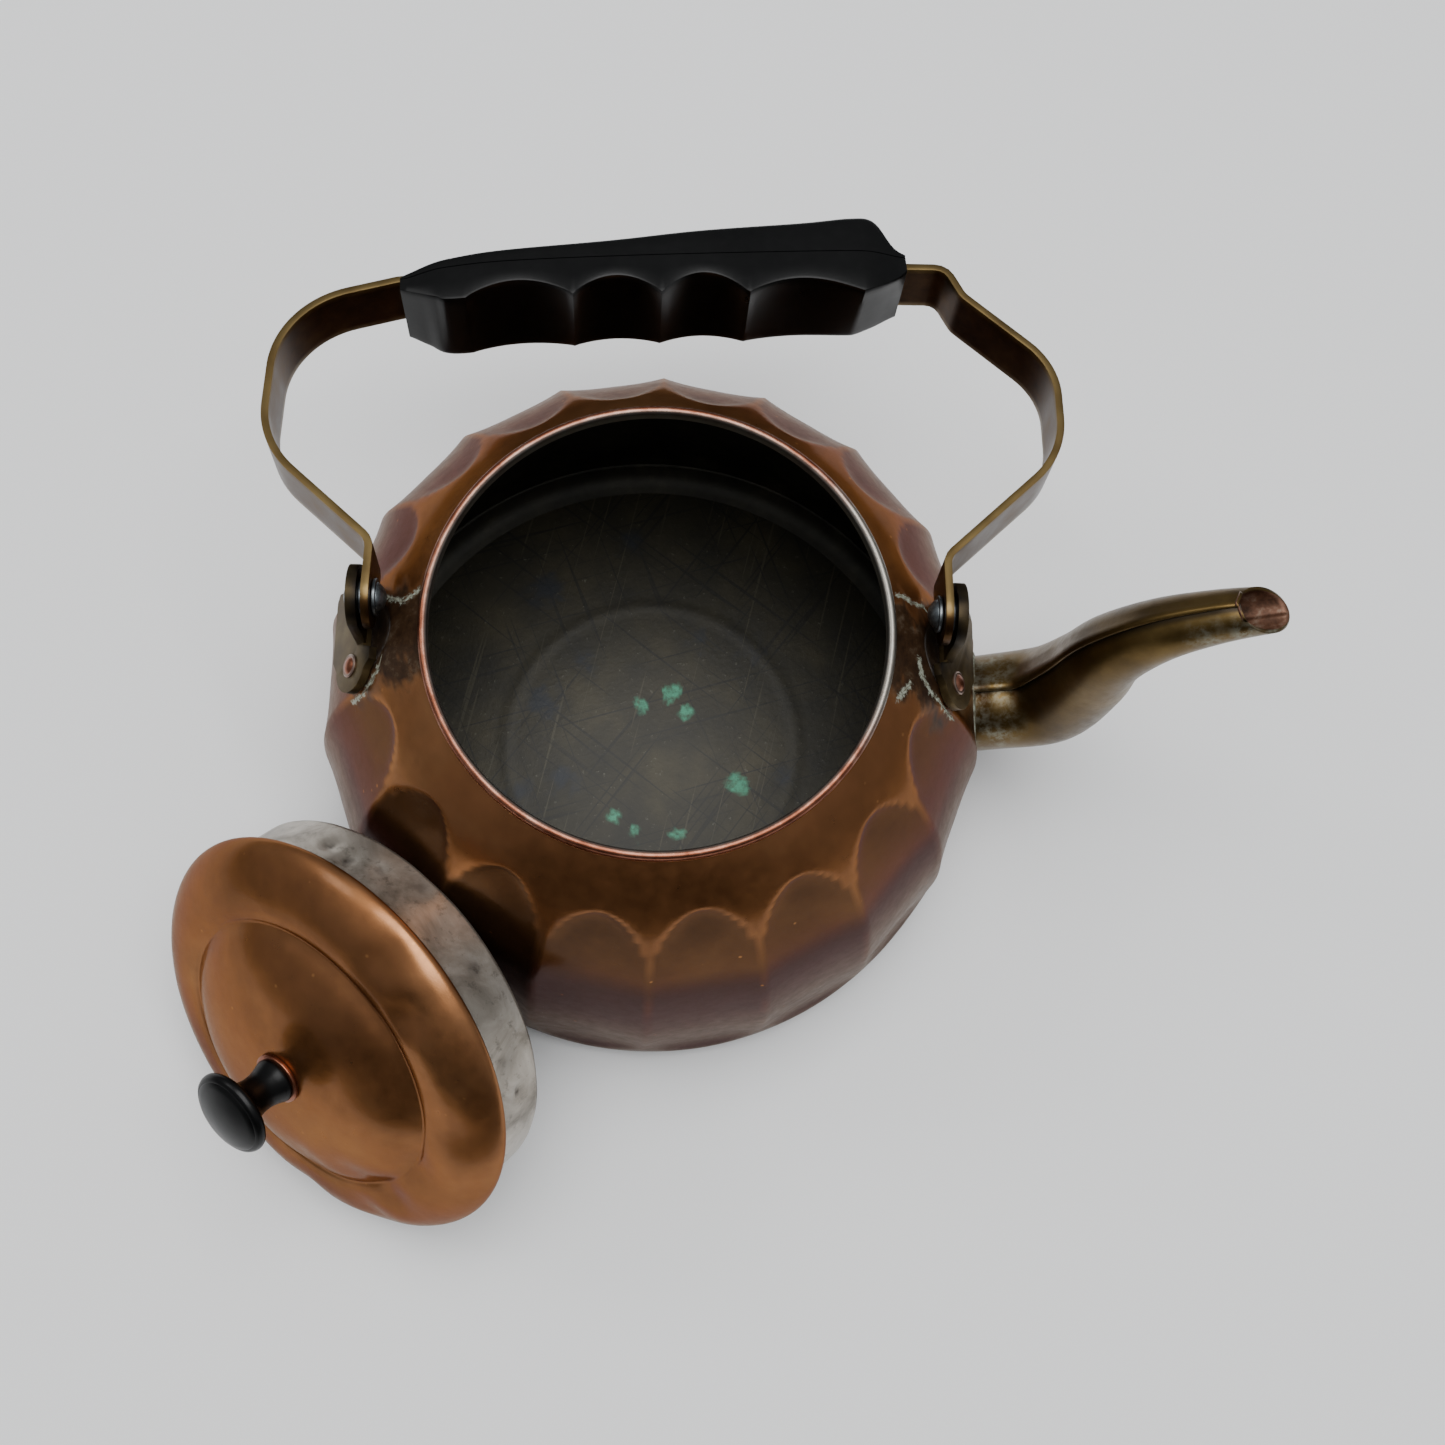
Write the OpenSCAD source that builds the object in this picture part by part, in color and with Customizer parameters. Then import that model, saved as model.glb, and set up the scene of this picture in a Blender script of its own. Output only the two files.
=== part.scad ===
// Copper kettle with a fluted body, a two-part brass spout, a swinging bail
// handle with a moulded grip, and a lift-off lid that leans against the body.
// Origin: centre of the base, on the surface it stands on.
// +X points to the spout, +Y to the back, +Z up. Millimetres.

/* [Body] */
// Widest radius of the body, over the ridges between the flutes
body_r = 90; // [86:1:94]
// Height of the mouth's edge above the base
body_h = 110; // [106:1:114]
// Height at which the body is widest
widest_z = 10; // [8:1:12]
// Radius of the foot that the body stands on
foot_r = 84; // [82:1:85]
// Fullness of the shoulder, where 2 is an ellipse and more is squarer
shoulder_power = 2.6; // [2.4:0.1:2.8]
// Thickness of the copper sheet
sheet = 1; // [0.8:0.1:1.2]
// Number of flutes round the body
flutes = 18; // [16:2:20]
// Depth of a flute at its middle
flute_depth = 1.9; // [1.4:0.1:2.4]

/* [Mouth] */
// Inner radius of the mouth ring
mouth_r = 53.2; // [52.6:0.1:53.6]
// Width of the mouth ring's section
ring_w = 2.2; // [1.8:0.1:2.4]
// Height of the mouth ring's section
ring_h = 3; // [2.6:0.1:3.4]

/* [Spout] */
// Radius of the spout where it enters the body
spout_root_r = 13; // [12:0.5:13.5]
// Radius of the spout at its mouth
spout_tip_r = 5.6; // [5:0.2:6]
// Thickness of the brass sheet of the spout
spout_wall = 0.9; // [0.8:0.1:1.2]
// Turn of the spout from the X axis, towards the back
spout_turn = 1.5; // [0:0.5:2]

/* [Bail handle] */
// Angle of the folded handle from upright, towards the back
bail_lean = 97; // [90:1:98]
// Width of the handle's strap
strap_w = 14.5; // [13:0.5:15]
// Thickness of the handle's strap
strap_t = 1.8; // [1.6:0.1:2]
// Distance of each strap eye from the middle of the kettle
eye_x = 67; // [66.6:0.1:67.2]
// Radius of the hinge pins
pin_r = 2; // [1.8:0.1:2.2]
// Running clearance of the pins in the strap's eyes
pin_gap = 0.05; // [0.03:0.01:0.08]

/* [Grip] */
// Length of the grip
grip_l = 126; // [122:1:128]
// Width of the grip across the strap
grip_w = 24; // [20:1:25]
// Angle of the grip to the line through the pins
grip_tilt = 4.6; // [4.2:0.1:5]

/* [Lid] */
// Radius of the lid over its rolled edge
lid_r = 55.5; // [55:0.1:56]
// Outer radius of the collar that drops into the mouth
collar_r = 51.6; // [51:0.1:52]
// Depth of the collar
collar_h = 15; // [14:0.5:15]
// Angle of the leaning lid's axis above the horizontal
lid_tilt = 34; // [33.5:0.5:34]
// Direction in which the lid leans, round from the spout
lid_azimuth = 226; // [225:1:227]

/* [Knob] */
// Height of the knob above its foot ring
knob_h = 17; // [17:0.5:19]
// Radius of the knob's cap
knob_r = 10.6; // [10:0.2:11]
// Radius of the screw that holds the knob
knob_screw_r = 2; // [1.8:0.1:2.2]

/* [Hidden] */
$fn = 96;

copper = "#8a4f2a";
brass = "#8c7444";
tinned = "#9a948a";
steel = "#8d9296";
bakelite = "#1c1b1b";

// ---- Body ----

mouth_out = mouth_r + ring_w;          // outer radius of the mouth ring
shell_top = body_h - ring_h;           // the ring stands on the shell's edge
base_t = 1.2;                          // thickness of the base plate
lip_r = foot_r - 5;                    // inner edge of the lip over the base plate
arch_top = 104;                        // height of a flute's arch at its middle
arch_drop = 11;                        // fall of the arch from there to the ridge
toe_z = 16;                            // lowest point of a flute
toe_rise = 9;                          // rise of its lower end towards the ridge
flute_ramp = 7;                        // height over which a flute reaches its depth
steps_per_flute = 4;
shoulder_steps = 20;
corner_steps = 4;

// Height of the superellipse that the shoulder follows, so that it meets the mouth
shoulder_h = (shell_top - widest_z)
    / pow(1 - pow(mouth_out / body_r, shoulder_power), 1 / shoulder_power);

// Radius over the ridges at a height above the widest level
function shoulder_radius(z) =
    body_r * pow(1 - pow((z - widest_z) / shoulder_h, shoulder_power), 1 / shoulder_power);

// Radius over the ridges below the widest level, a quarter ellipse from the foot
function corner_radius(z) =
    foot_r + (body_r - foot_r) * sqrt(1 - pow((widest_z - z) / widest_z, 2));

function ridge_radius(z) = z < widest_z ? corner_radius(z) : shoulder_radius(z);

function clamp01(v) = max(0, min(1, v));

// How far a flute lies inside the ridge radius; u runs from -1 to 1 across it
function dent(u, z) =
    flute_depth * (1 - u * u)
    * clamp01((arch_top - arch_drop * u * u - z) / flute_ramp)
    * clamp01((z - toe_z - toe_rise * u * u) / flute_ramp);

// Heights of the rings of points, closer together where the shoulder turns
corner_zs = [for (i = [0 : corner_steps]) widest_z * i / corner_steps];
shoulder_zs = [for (i = [1 : shoulder_steps])
    widest_z + (shell_top - widest_z) * sin(90 * i / shoulder_steps)];
ring_zs = concat(corner_zs, shoulder_zs);

// Slope of the profile, for moving the inner wall in by the sheet's thickness
function wall_normal(z) =
    let (e = 0.2,
         lo = max(0, z - e),
         hi = min(shell_top, z + e),
         dr = ridge_radius(hi) - ridge_radius(lo),
         dz = hi - lo,
         len = norm([dr, dz]))
    [dz / len, -dr / len];

// One column of the shell's section at the place u across a flute: up the
// outside, down the inside, then round the lip that holds the base plate
function shell_column(u) = concat(
    [for (z = ring_zs) [ridge_radius(z) - dent(u, z), z]],
    [for (i = [len(ring_zs) - 1 : -1 : 1])
        let (z = ring_zs[i], n = wall_normal(z))
        z == shell_top
            ? [ridge_radius(z) - sheet / n[0], z]
            : [ridge_radius(z) - dent(u, z) - sheet * n[0],
               max(base_t + sheet, z - sheet * n[1])]],
    [[foot_r - sheet, base_t + sheet], [lip_r, base_t + sheet],
     [lip_r, base_t], [foot_r - sheet, base_t], [foot_r - sheet, 0]]);

columns = flutes * steps_per_flute;
column_n = len(shell_column(0));

module shell_solid() {
    points = [for (c = [0 : columns - 1])
        let (a = 360 * c / columns,
             u = 2 * ((c + steps_per_flute / 2) % steps_per_flute) / steps_per_flute - 1)
        for (p = shell_column(u)) [p[0] * cos(a), p[0] * sin(a), p[1]]];
    faces = [for (c = [0 : columns - 1], i = [0 : column_n - 1])
        let (d = (c + 1) % columns,
             j = (i + 1) % column_n,
             a = c * column_n + i, b = d * column_n + i,
             e = d * column_n + j, f = c * column_n + j)
        each [[a, f, e], [a, e, b]]];
    polyhedron(points, faces);
}

module body_shell() {
    color(copper)
    difference() {
        shell_solid();
        at_spout_root() cylinder(r = spout_root_r + 0.15, h = 30, center = true);
        for (side = [-1, 1])
            on_lug_foot(side) cylinder(r = rivet_r, h = 12, center = true);
    }
}

module base_plate() {
    bead_r = 42;                       // radius of the stiffening bead
    bead_w = 3;
    bead_h = 0.6;
    color(tinned)
    rotate_extrude()
        polygon([[0, 0], [bead_r - bead_w, 0], [bead_r - 1, bead_h], [bead_r + 1, bead_h],
                 [bead_r + bead_w, 0], [foot_r - sheet - 0.15, 0],
                 [foot_r - sheet - 0.15, base_t], [bead_r + bead_w, base_t],
                 [bead_r + 1, base_t + bead_h], [bead_r - 1, base_t + bead_h],
                 [bead_r - bead_w, base_t], [0, base_t]]);
}

module mouth_ring() {
    round_r = ring_w / 2;
    color(copper)
    rotate_extrude()
        union() {
            translate([mouth_r, shell_top]) square([ring_w, ring_h - round_r]);
            translate([mouth_r + round_r, body_h - round_r]) circle(r = round_r, $fn = 32);
        }
}

// ---- Spout ----

root_z = 45;                           // height of the root's middle at the wall
root_rise = 18;                        // angle of the root's axis above level
root_x = shoulder_radius(root_z);
root_in = 5;                           // length of the root inside the wall

module at_spout_root() {
    rotate([0, 0, spout_turn])
        translate([root_x, 0, root_z])
            rotate([0, 90 - root_rise, 0])
                children();
}

root_start = [root_x - root_in * cos(root_rise), root_z - root_in * sin(root_rise)];
root_end = [root_x + 4 * cos(root_rise), root_z + 4 * sin(root_rise)];

// The spout's middle line, as the corners of a smooth curve, and its radii there
spout_line = [root_start, root_end, [106, 54], [110.5, 74], [112, 92],
              [119, 107], [129, 116], [138.5, 121]];
spout_radii = [spout_root_r, spout_root_r, 13.2, 11.2, 9.2, 7.6, 6.4, spout_tip_r];
spout_cuts = 4;                        // rings between two corners
half_steps = 12;                       // points round each half

// Catmull-Rom curve through four values
function curve(a, b, c, d, t) =
    0.5 * (2 * b + (c - a) * t + (2 * a - 5 * b + 4 * c - d) * t * t
           + (3 * b - a - 3 * c + d) * t * t * t);

function along(list, i, t) =
    let (n = len(list) - 1)
    curve(list[max(0, i - 1)], list[i], list[min(n, i + 1)], list[min(n, i + 2)], t);

spout_stations = concat(
    [for (i = [0 : len(spout_line) - 2], k = [0 : spout_cuts - 1]) [i, k / spout_cuts]],
    [[len(spout_line) - 2, 1]]);
spout_mid = [for (s = spout_stations) along(spout_line, s[0], s[1])];
spout_rad = [for (s = spout_stations) along(spout_radii, s[0], s[1])];
spout_n = len(spout_mid);

function spout_way(i) =
    i < 2 * spout_cuts - 3
        ? [cos(root_rise), sin(root_rise)]
        : let (a = spout_mid[max(0, i - 1)],
               b = spout_mid[min(spout_n - 1, i + 1)])
          (b - a) / norm(b - a);

// The mouth is cut on a slope: the last rings lean so that the lower lip runs out
beak = 5;
beak_rings = 5;
function lean(i) = beak * pow(clamp01((i - spout_n + 1 + beak_rings) / beak_rings), 2);

function spout_point(i, a, r) =
    let (w = spout_way(i),
         side = r * cos(a),
         up = r * sin(a),
         shift = -lean(i) * sin(a))
    [spout_mid[i][0] - up * w[1] + shift * w[0], -side,
     spout_mid[i][1] + up * w[0] + shift * w[1]];

module spout_half() {
    ring_n = 2 * (half_steps + 1);
    points = [for (i = [0 : spout_n - 1])
        each concat(
            [for (k = [0 : half_steps])
                spout_point(i, -90 + 180 * k / half_steps, spout_rad[i])],
            [for (k = [half_steps : -1 : 0])
                spout_point(i, -90 + 180 * k / half_steps, spout_rad[i] - spout_wall)])];
    sides = [for (i = [0 : spout_n - 2], k = [0 : ring_n - 1])
        let (a = i * ring_n + k, b = i * ring_n + (k + 1) % ring_n,
             c = b + ring_n, d = a + ring_n)
        each [[a, b, c], [a, c, d]]];
    ends = [for (k = [0 : half_steps - 1])
        let (m = ring_n - 1 - k, top = (spout_n - 1) * ring_n)
        each [[k, m - 1, k + 1], [k, m, m - 1],
              [top + k, top + k + 1, top + m - 1], [top + k, top + m - 1, top + m]]];
    polyhedron(points, concat(sides, ends));
}

module spout_front_half() {
    color(brass) rotate([0, 0, spout_turn]) spout_half();
}

module spout_back_half() {
    color(brass) rotate([0, 0, spout_turn]) mirror([0, 1, 0]) spout_half();
}

// ---- Lugs, rivets and hinge pins ----

pin_y = 5;                             // the pins sit a little behind the middle
pin_z = 107.5;
eye_gap = 0.2;                         // side play of the strap between its washers
washer_t = 0.8;
washer_r = 4.4;
eye_in = eye_x - strap_t / 2;
eye_out = eye_x + strap_t / 2;
head_x = eye_in - eye_gap - washer_t;  // seat of the pin's head
ear_x = eye_out + eye_gap + washer_t;  // inner face of the ear
ear_t = 2.4;
ear_r = 7.5;
lug_slope = 39;                        // rise of the foot's normal above level
lug_x = 73;                            // the rivet's place on the foot's top face
lug_z = 92.2;
lug_foot_t = 2;
lug_foot_l = 17;                       // length down the slope
rivet_y = -7;                          // the rivet stands in front of the ear
rivet_r = 1.8;
nose_r = 6.5;                          // rounding of the foot round the rivet

// Origin on the foot's top face at the rivet, +Z out of the face, +X down the slope
module on_lug_foot(side) {
    mirror([side < 0 ? 1 : 0, 0, 0])
        translate([lug_x, rivet_y, lug_z])
            rotate([0, 90 - lug_slope, 0])
                children();
}

// The foot reaches in under the mouth in front of the ear, and behind that it
// starts at the ear, so that the strap's eye has room above the body
module lug_foot() {
    back = pin_y + ear_r - rivet_y + 0.5;
    front = pin_y - ear_r - rivet_y - 0.5;
    ear_edge = -5.6;
    half = lug_foot_l / 2;
    translate([0, 0, -lug_foot_t])
        linear_extrude(height = lug_foot_t)
            union() {
                circle(r = nose_r);
                polygon([[0, -4], [-4.4, -3.4], [-half, 0], [-half, front - 1],
                         [ear_edge, front], [ear_edge, back], [half - 1, back],
                         [half, back - 2], [half, 2.5], [4.6, -3]]);
            }
}

module lug(side) {
    ear_low = lug_z + 1;
    difference() {
        union() {
            on_lug_foot(side) lug_foot();
            mirror([side < 0 ? 1 : 0, 0, 0])
                translate([ear_x, pin_y, 0])
                    rotate([90, 0, 90])
                        linear_extrude(height = ear_t)
                            union() {
                                translate([0, pin_z]) circle(r = ear_r);
                                translate([-ear_r, ear_low])
                                    square([2 * ear_r, pin_z - ear_low]);
                            }
        }
        on_lug_foot(side) cylinder(r = rivet_r, h = 12, center = true);
        on_pin(side) cylinder(r = pin_r, h = 2 * body_r);
    }
}

module lug_left() { color(brass) lug(-1); }
module lug_right() { color(brass) lug(1); }

module dome_head(r, h) {
    intersection() {
        translate([0, 0, h - (r * r + h * h) / (2 * h)])
            sphere(r = (r * r + h * h) / (2 * h));
        cylinder(r = r, h = h);
    }
}

module lug_rivet(side) {
    grip = lug_foot_t + 2.4;           // from the foot's face to inside the shell
    on_lug_foot(side) {
        dome_head(3.4, 1);
        translate([0, 0, -grip]) cylinder(r = rivet_r, h = grip);
        translate([0, 0, -grip - 1]) cylinder(r = 2.8, h = 1);
    }
}

module lug_rivet_left() { color(copper) lug_rivet(-1); }
module lug_rivet_right() { color(copper) lug_rivet(1); }

// +Z outwards along the pin's axis, from the middle of the kettle
module on_pin(side) {
    mirror([side < 0 ? 1 : 0, 0, 0])
        translate([0, pin_y, pin_z])
            rotate([0, 90, 0])
                children();
}

module hinge_pin(side) {
    on_pin(side) {
        translate([0, 0, head_x]) mirror([0, 0, 1]) dome_head(3.6, 2.1);
        translate([0, 0, head_x]) cylinder(r = pin_r, h = ear_x + ear_t - head_x);
        translate([0, 0, ear_x + ear_t]) dome_head(3.6, 1.5);
    }
}

module hinge_pin_left() { color(steel) hinge_pin(-1); }
module hinge_pin_right() { color(steel) hinge_pin(1); }

module pin_washers(side) {
    for (x = [head_x, ear_x - washer_t])
        on_pin(side)
            translate([0, 0, x])
                difference() {
                    cylinder(r = washer_r, h = washer_t);
                    translate([0, 0, -1]) cylinder(r = pin_r + 0.1, h = washer_t + 2);
                }
}

module pin_washers_left() { color(steel) pin_washers(-1); }
module pin_washers_right() { color(steel) pin_washers(1); }

// ---- Bail handle: drawn upright in the XZ plane, then folded back ----

module in_bail() {
    translate([0, pin_y, pin_z]) rotate([-bail_lean, 0, 0]) children();
}

grip_mid = [-2.8, 89.5];               // middle of the grip on the strap's line
function on_grip_line(x) = [x, grip_mid[1] + tan(grip_tilt) * (x - grip_mid[0])];

// Corners of the strap's middle line as [x, z, bend radius]. It rises higher on
// the spout side, where it steps down from the grip in a short swan neck.
strap_corners = [
    [-eye_x, 0, 0], [-eye_x, 11.5, 5], [-94.6, 36.5, 24], [-94.6, 75, 24],
    concat(on_grip_line(-66), 12), concat(on_grip_line(61), 14),
    [70.6, 94.9, 4.5], [74.6, 86.6, 6], [96.8, 66.5, 20], [96.8, 41, 24],
    [eye_x, 11.8, 5], [eye_x, 0, 0]];
bend_steps = 6;

function unit(v) = v / norm(v);

// The points of one rounded corner
function bend(a, b, c, r) =
    let (u = unit(a - b),
         v = unit(c - b),
         half = acos(u * v) / 2,
         mid = b + unit(u + v) * r / sin(half),
         from = b + u * r / tan(half),
         to = b + v * r / tan(half),
         start = atan2(from[1] - mid[1], from[0] - mid[0]),
         end = atan2(to[1] - mid[1], to[0] - mid[0]),
         turn = (end - start + 540) % 360 - 180)
    [for (k = [0 : bend_steps])
        mid + r * [cos(start + turn * k / bend_steps), sin(start + turn * k / bend_steps)]];

function flat2(p) = [p[0], p[1]];

function rounded(corners) =
    let (n = len(corners))
    [for (i = [0 : n - 1])
        each (i == 0 || i == n - 1
            ? [flat2(corners[i])]
            : bend(flat2(corners[i - 1]), flat2(corners[i]), flat2(corners[i + 1]),
                   corners[i][2]))];

strap_line = rounded(strap_corners);

// The strap's line moved sideways by half its thickness
function moved(line, d) =
    let (n = len(line))
    [for (i = [0 : n - 1])
        let (w = unit(line[min(n - 1, i + 1)] - line[max(0, i - 1)]))
        line[i] + d * [-w[1], w[0]]];

module strap_band() {
    out = moved(strap_line, strap_t / 2);
    in = moved(strap_line, -strap_t / 2);
    n = len(strap_line);
    rotate([90, 0, 0])
        linear_extrude(height = strap_w, center = true)
            polygon(concat(out, [for (i = [n - 1 : -1 : 0]) in[i]]));
}

module bail_strap() {
    color(brass)
    in_bail()
        difference() {
            union() {
                strap_band();
                for (side = [-1, 1])
                    translate([side * eye_x, 0, 0])
                        rotate([0, 90, 0])
                            cylinder(r = strap_w / 2, h = strap_t, center = true);
            }
            rotate([0, 90, 0])
                cylinder(r = pin_r + pin_gap, h = 3 * body_r, center = true);
            at_grip_screws() cylinder(r = screw_r + 0.1, h = 8, center = true);
        }
}

// ---- Grip ----

groove_pitch = 21.3;                   // spacing of the finger grooves
groove_r = 13;
groove_x = -10.7;                      // middle of the second groove
finger_depth = 10.5;
groove_depth = 3.6;
screw_x = 44;
screw_r = 1.6;
screw_head_r = 3;
screw_head_h = 2.2;
insert_r = 2.8;
insert_h = 5;

// +X along the grip, +Z to the palm side, origin on the strap's line
module in_grip() {
    in_bail()
        translate([grip_mid[0], 0, grip_mid[1]])
            rotate([0, -grip_tilt, 0])
                children();
}

module at_grip_screws() {
    for (x = [-screw_x, screw_x])
        translate([grip_mid[0], 0, grip_mid[1]])
            rotate([0, -grip_tilt, 0])
                translate([x, 0, 0])
                    children();
}

module grip_slab(outline) {
    rotate([90, 0, 0])
        linear_extrude(height = grip_w, center = true)
            polygon(outline);
}

// Room for the strap between the halves
module strap_room() {
    cube([2 * grip_l, strap_w + 0.3, strap_t + 0.1], center = true);
}

module grip_palm_half() {
    e = grip_l / 2;
    color(bakelite)
    in_grip()
        difference() {
            grip_slab([[-e, 0], [e, 0], [e - 1, 2], [e - 4, 3.5], [e - 7, 9], [e - 10, 11.5],
                       [e - 16, 12], [e - 26, 10.6], [e - 40, 9], [0, 8.2], [-20, 7],
                       [-e + 18, 5], [-e + 4, 2.6]]);
            strap_room();
            for (x = [-screw_x, screw_x]) {
                translate([x, 0, -1]) cylinder(r = screw_r + 0.1, h = 20);
                translate([x, 0, screw_seat(x)]) cylinder(r = screw_head_r + 0.2, h = 12);
            }
        }
}

module grip_finger_half() {
    e = grip_l / 2;
    color(bakelite)
    in_grip()
        difference() {
            grip_slab([[-e, 0], [-e + 1, -3], [-e + 7, -8.5], [-e + 13, -finger_depth],
                       [e - 15, -finger_depth], [e - 6, -8], [e - 1, -3], [e, 0]]);
            for (k = [-1 : 1])
                translate([groove_x + k * groove_pitch, 0,
                           -finger_depth + groove_depth - groove_r])
                    rotate([90, 0, 0])
                        cylinder(r = groove_r, h = 2 * grip_w, center = true);
            translate([groove_x + 2.1 * groove_pitch, 0,
                       -finger_depth + 2.4 - 1.6 * groove_r])
                rotate([90, 0, 0])
                    cylinder(r = 1.6 * groove_r, h = 2 * grip_w, center = true);
            strap_room();
            for (x = [-screw_x, screw_x])
                translate([x, 0, -strap_t / 2 - insert_h - 0.05])
                    cylinder(r = insert_r, h = insert_h + 1);
        }
}

// Height of the screw's head seat above the strap's line
function screw_seat(x) = x < 0 ? 2.2 : 5;

module grip_screws() {
    color(steel)
    in_grip()
        for (x = [-screw_x, screw_x])
            translate([x, 0, 0]) {
                translate([0, 0, screw_seat(x)])
                    difference() {
                        cylinder(r = screw_head_r, h = screw_head_h);
                        translate([-screw_head_r - 1, -0.4, screw_head_h - 0.9])
                            cube([2 * screw_head_r + 2, 0.8, 2]);
                    }
                translate([0, 0, -strap_t / 2 - insert_h + 0.4])
                    cylinder(r = screw_r, h = screw_seat(x) + strap_t / 2 + insert_h - 0.4);
            }
}

module grip_inserts() {
    color(brass)
    in_grip()
        for (x = [-screw_x, screw_x])
            translate([x, 0, -strap_t / 2 - insert_h - 0.05])
                difference() {
                    cylinder(r = insert_r, h = insert_h);
                    translate([0, 0, 0.4]) cylinder(r = screw_r, h = insert_h);
                }
}

// ---- Lid: drawn upright on its rim plane, then leant against the body ----

lid_t = 0.9;
rim_out = 118.1;                       // rim's middle from the kettle's axis, outwards
rim_side = 7;                          // and to the side
rim_up = collar_r * cos(lid_tilt) + collar_h * sin(lid_tilt) + 0.2;

module in_lid() {
    rotate([0, 0, lid_azimuth])
        translate([rim_out, rim_side, rim_up])
            rotate([0, 90 - lid_tilt, 0])
                children();
}

// Outside of the dome as [r, z]: rolled edge, outer tier, step groove, inner tier
dome_line = [[lid_r - 0.6, 0.4], [lid_r, 1.4], [lid_r - 0.5, 2.6], [53, 5.2], [49.5, 7.8],
             [45, 9.6], [41, 10.4], [38.6, 10.3], [37.4, 9.9], [36.2, 10.6], [33, 13.2],
             [28, 15.6], [22, 17.2], [15, 18.2], [10, 18.7], [6.5, 18.8]];
dome_top = 18.8;
dome_edge = 50;                        // inner edge of the flat brim

module lid_dome() {
    inside = [for (i = [len(dome_line) - 1 : -1 : 3])
        let (a = dome_line[max(0, i - 1)], b = dome_line[min(len(dome_line) - 1, i + 1)],
             w = unit(b - a))
        dome_line[i] + lid_t * [-w[1], w[0]]];
    color(copper)
    in_lid()
        difference() {
            rotate_extrude()
                polygon(concat([[dome_edge, 0], [lid_r - 1.2, 0]], dome_line,
                               [[0, dome_top], [0, dome_top - lid_t]], inside,
                               [[dome_edge, lid_t]]));
            cylinder(r = knob_screw_r + 0.2, h = 3 * dome_top, center = true);
        }
}

module lid_collar() {
    wall = 0.8;
    color(tinned)
    in_lid()
        translate([0, 0, -collar_h])
            difference() {
                cylinder(r = collar_r, h = collar_h);
                translate([0, 0, -1]) cylinder(r = collar_r - wall, h = collar_h + 2);
            }
}

ring_t = 1.2;
ring_out = 6.6;

module knob_foot_ring() {
    color(copper)
    in_lid()
        translate([0, 0, dome_top])
            difference() {
                cylinder(r = ring_out, h = ring_t);
                translate([0, 0, -1]) cylinder(r = knob_screw_r + 0.2, h = ring_t + 2);
            }
}

knob_base = dome_top + ring_t;
insert_out = 3.2;
insert_len = 8;

module knob() {
    color(bakelite)
    in_lid()
        translate([0, 0, knob_base])
            difference() {
                rotate_extrude()
                    polygon([[0, 0], [5.6, 0], [5.7, 0.8], [5, 2.6], [4.5, 5], [4.6, 7.5],
                             [5.4, 9.6], [7.4, 11.4], [knob_r - 1, 12.4], [knob_r, 13.4],
                             [knob_r - 0.2, 14.6], [8.8, 15.6], [6, 16.3],
                             [3, knob_h - 0.2], [0, knob_h]]);
                translate([0, 0, -1]) cylinder(r = insert_out, h = insert_len + 1);
            }
}

module knob_insert() {
    color(brass)
    in_lid()
        translate([0, 0, knob_base])
            difference() {
                cylinder(r = insert_out, h = insert_len);
                translate([0, 0, -1]) cylinder(r = knob_screw_r, h = insert_len + 0.4);
            }
}

knob_washer_t = 0.8;
screw_head_z = dome_top - lid_t - knob_washer_t;

module knob_screw() {
    color(steel)
    in_lid()
        translate([0, 0, screw_head_z]) {
            cylinder(r = knob_screw_r, h = lid_t + knob_washer_t + ring_t + 6.5);
            mirror([0, 0, 1])
                difference() {
                    dome_head(3.8, 2.4);
                    translate([-5, -0.5, 1.2]) cube([10, 1, 2]);
                }
        }
}

module knob_screw_washer() {
    color(steel)
    in_lid()
        translate([0, 0, screw_head_z])
            difference() {
                cylinder(r = 5.4, h = knob_washer_t);
                translate([0, 0, -1]) cylinder(r = knob_screw_r + 0.2, h = 3);
            }
}

body_shell();
base_plate();
mouth_ring();
spout_front_half();
spout_back_half();
lug_left();
lug_right();
lug_rivet_left();
lug_rivet_right();
hinge_pin_left();
hinge_pin_right();
pin_washers_left();
pin_washers_right();
bail_strap();
grip_palm_half();
grip_finger_half();
grip_screws();
grip_inserts();
lid_dome();
lid_collar();
knob_foot_ring();
knob();
knob_insert();
knob_screw();
knob_screw_washer();
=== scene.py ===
import math

import bmesh
import bpy
from mathutils import Matrix, Vector, noise


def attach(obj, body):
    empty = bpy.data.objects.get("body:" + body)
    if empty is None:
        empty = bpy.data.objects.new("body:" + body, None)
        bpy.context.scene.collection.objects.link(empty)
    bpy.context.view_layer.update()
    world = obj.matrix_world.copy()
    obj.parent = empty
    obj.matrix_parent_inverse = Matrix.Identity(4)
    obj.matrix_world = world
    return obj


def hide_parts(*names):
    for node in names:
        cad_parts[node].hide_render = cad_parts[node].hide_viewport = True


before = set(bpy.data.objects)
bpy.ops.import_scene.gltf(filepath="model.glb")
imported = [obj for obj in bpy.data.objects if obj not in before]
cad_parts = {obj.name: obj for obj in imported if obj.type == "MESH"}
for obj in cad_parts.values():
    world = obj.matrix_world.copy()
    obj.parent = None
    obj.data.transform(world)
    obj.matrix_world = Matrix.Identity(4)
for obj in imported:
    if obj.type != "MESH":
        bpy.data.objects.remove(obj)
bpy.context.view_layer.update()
MM = 0.001

# ---- Camera, floor and light ----
# The kettle is seen from steeply above its front, with a normal lens. It stands on
# plain pale card under one wide soft light, with a weak one at its left.

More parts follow.
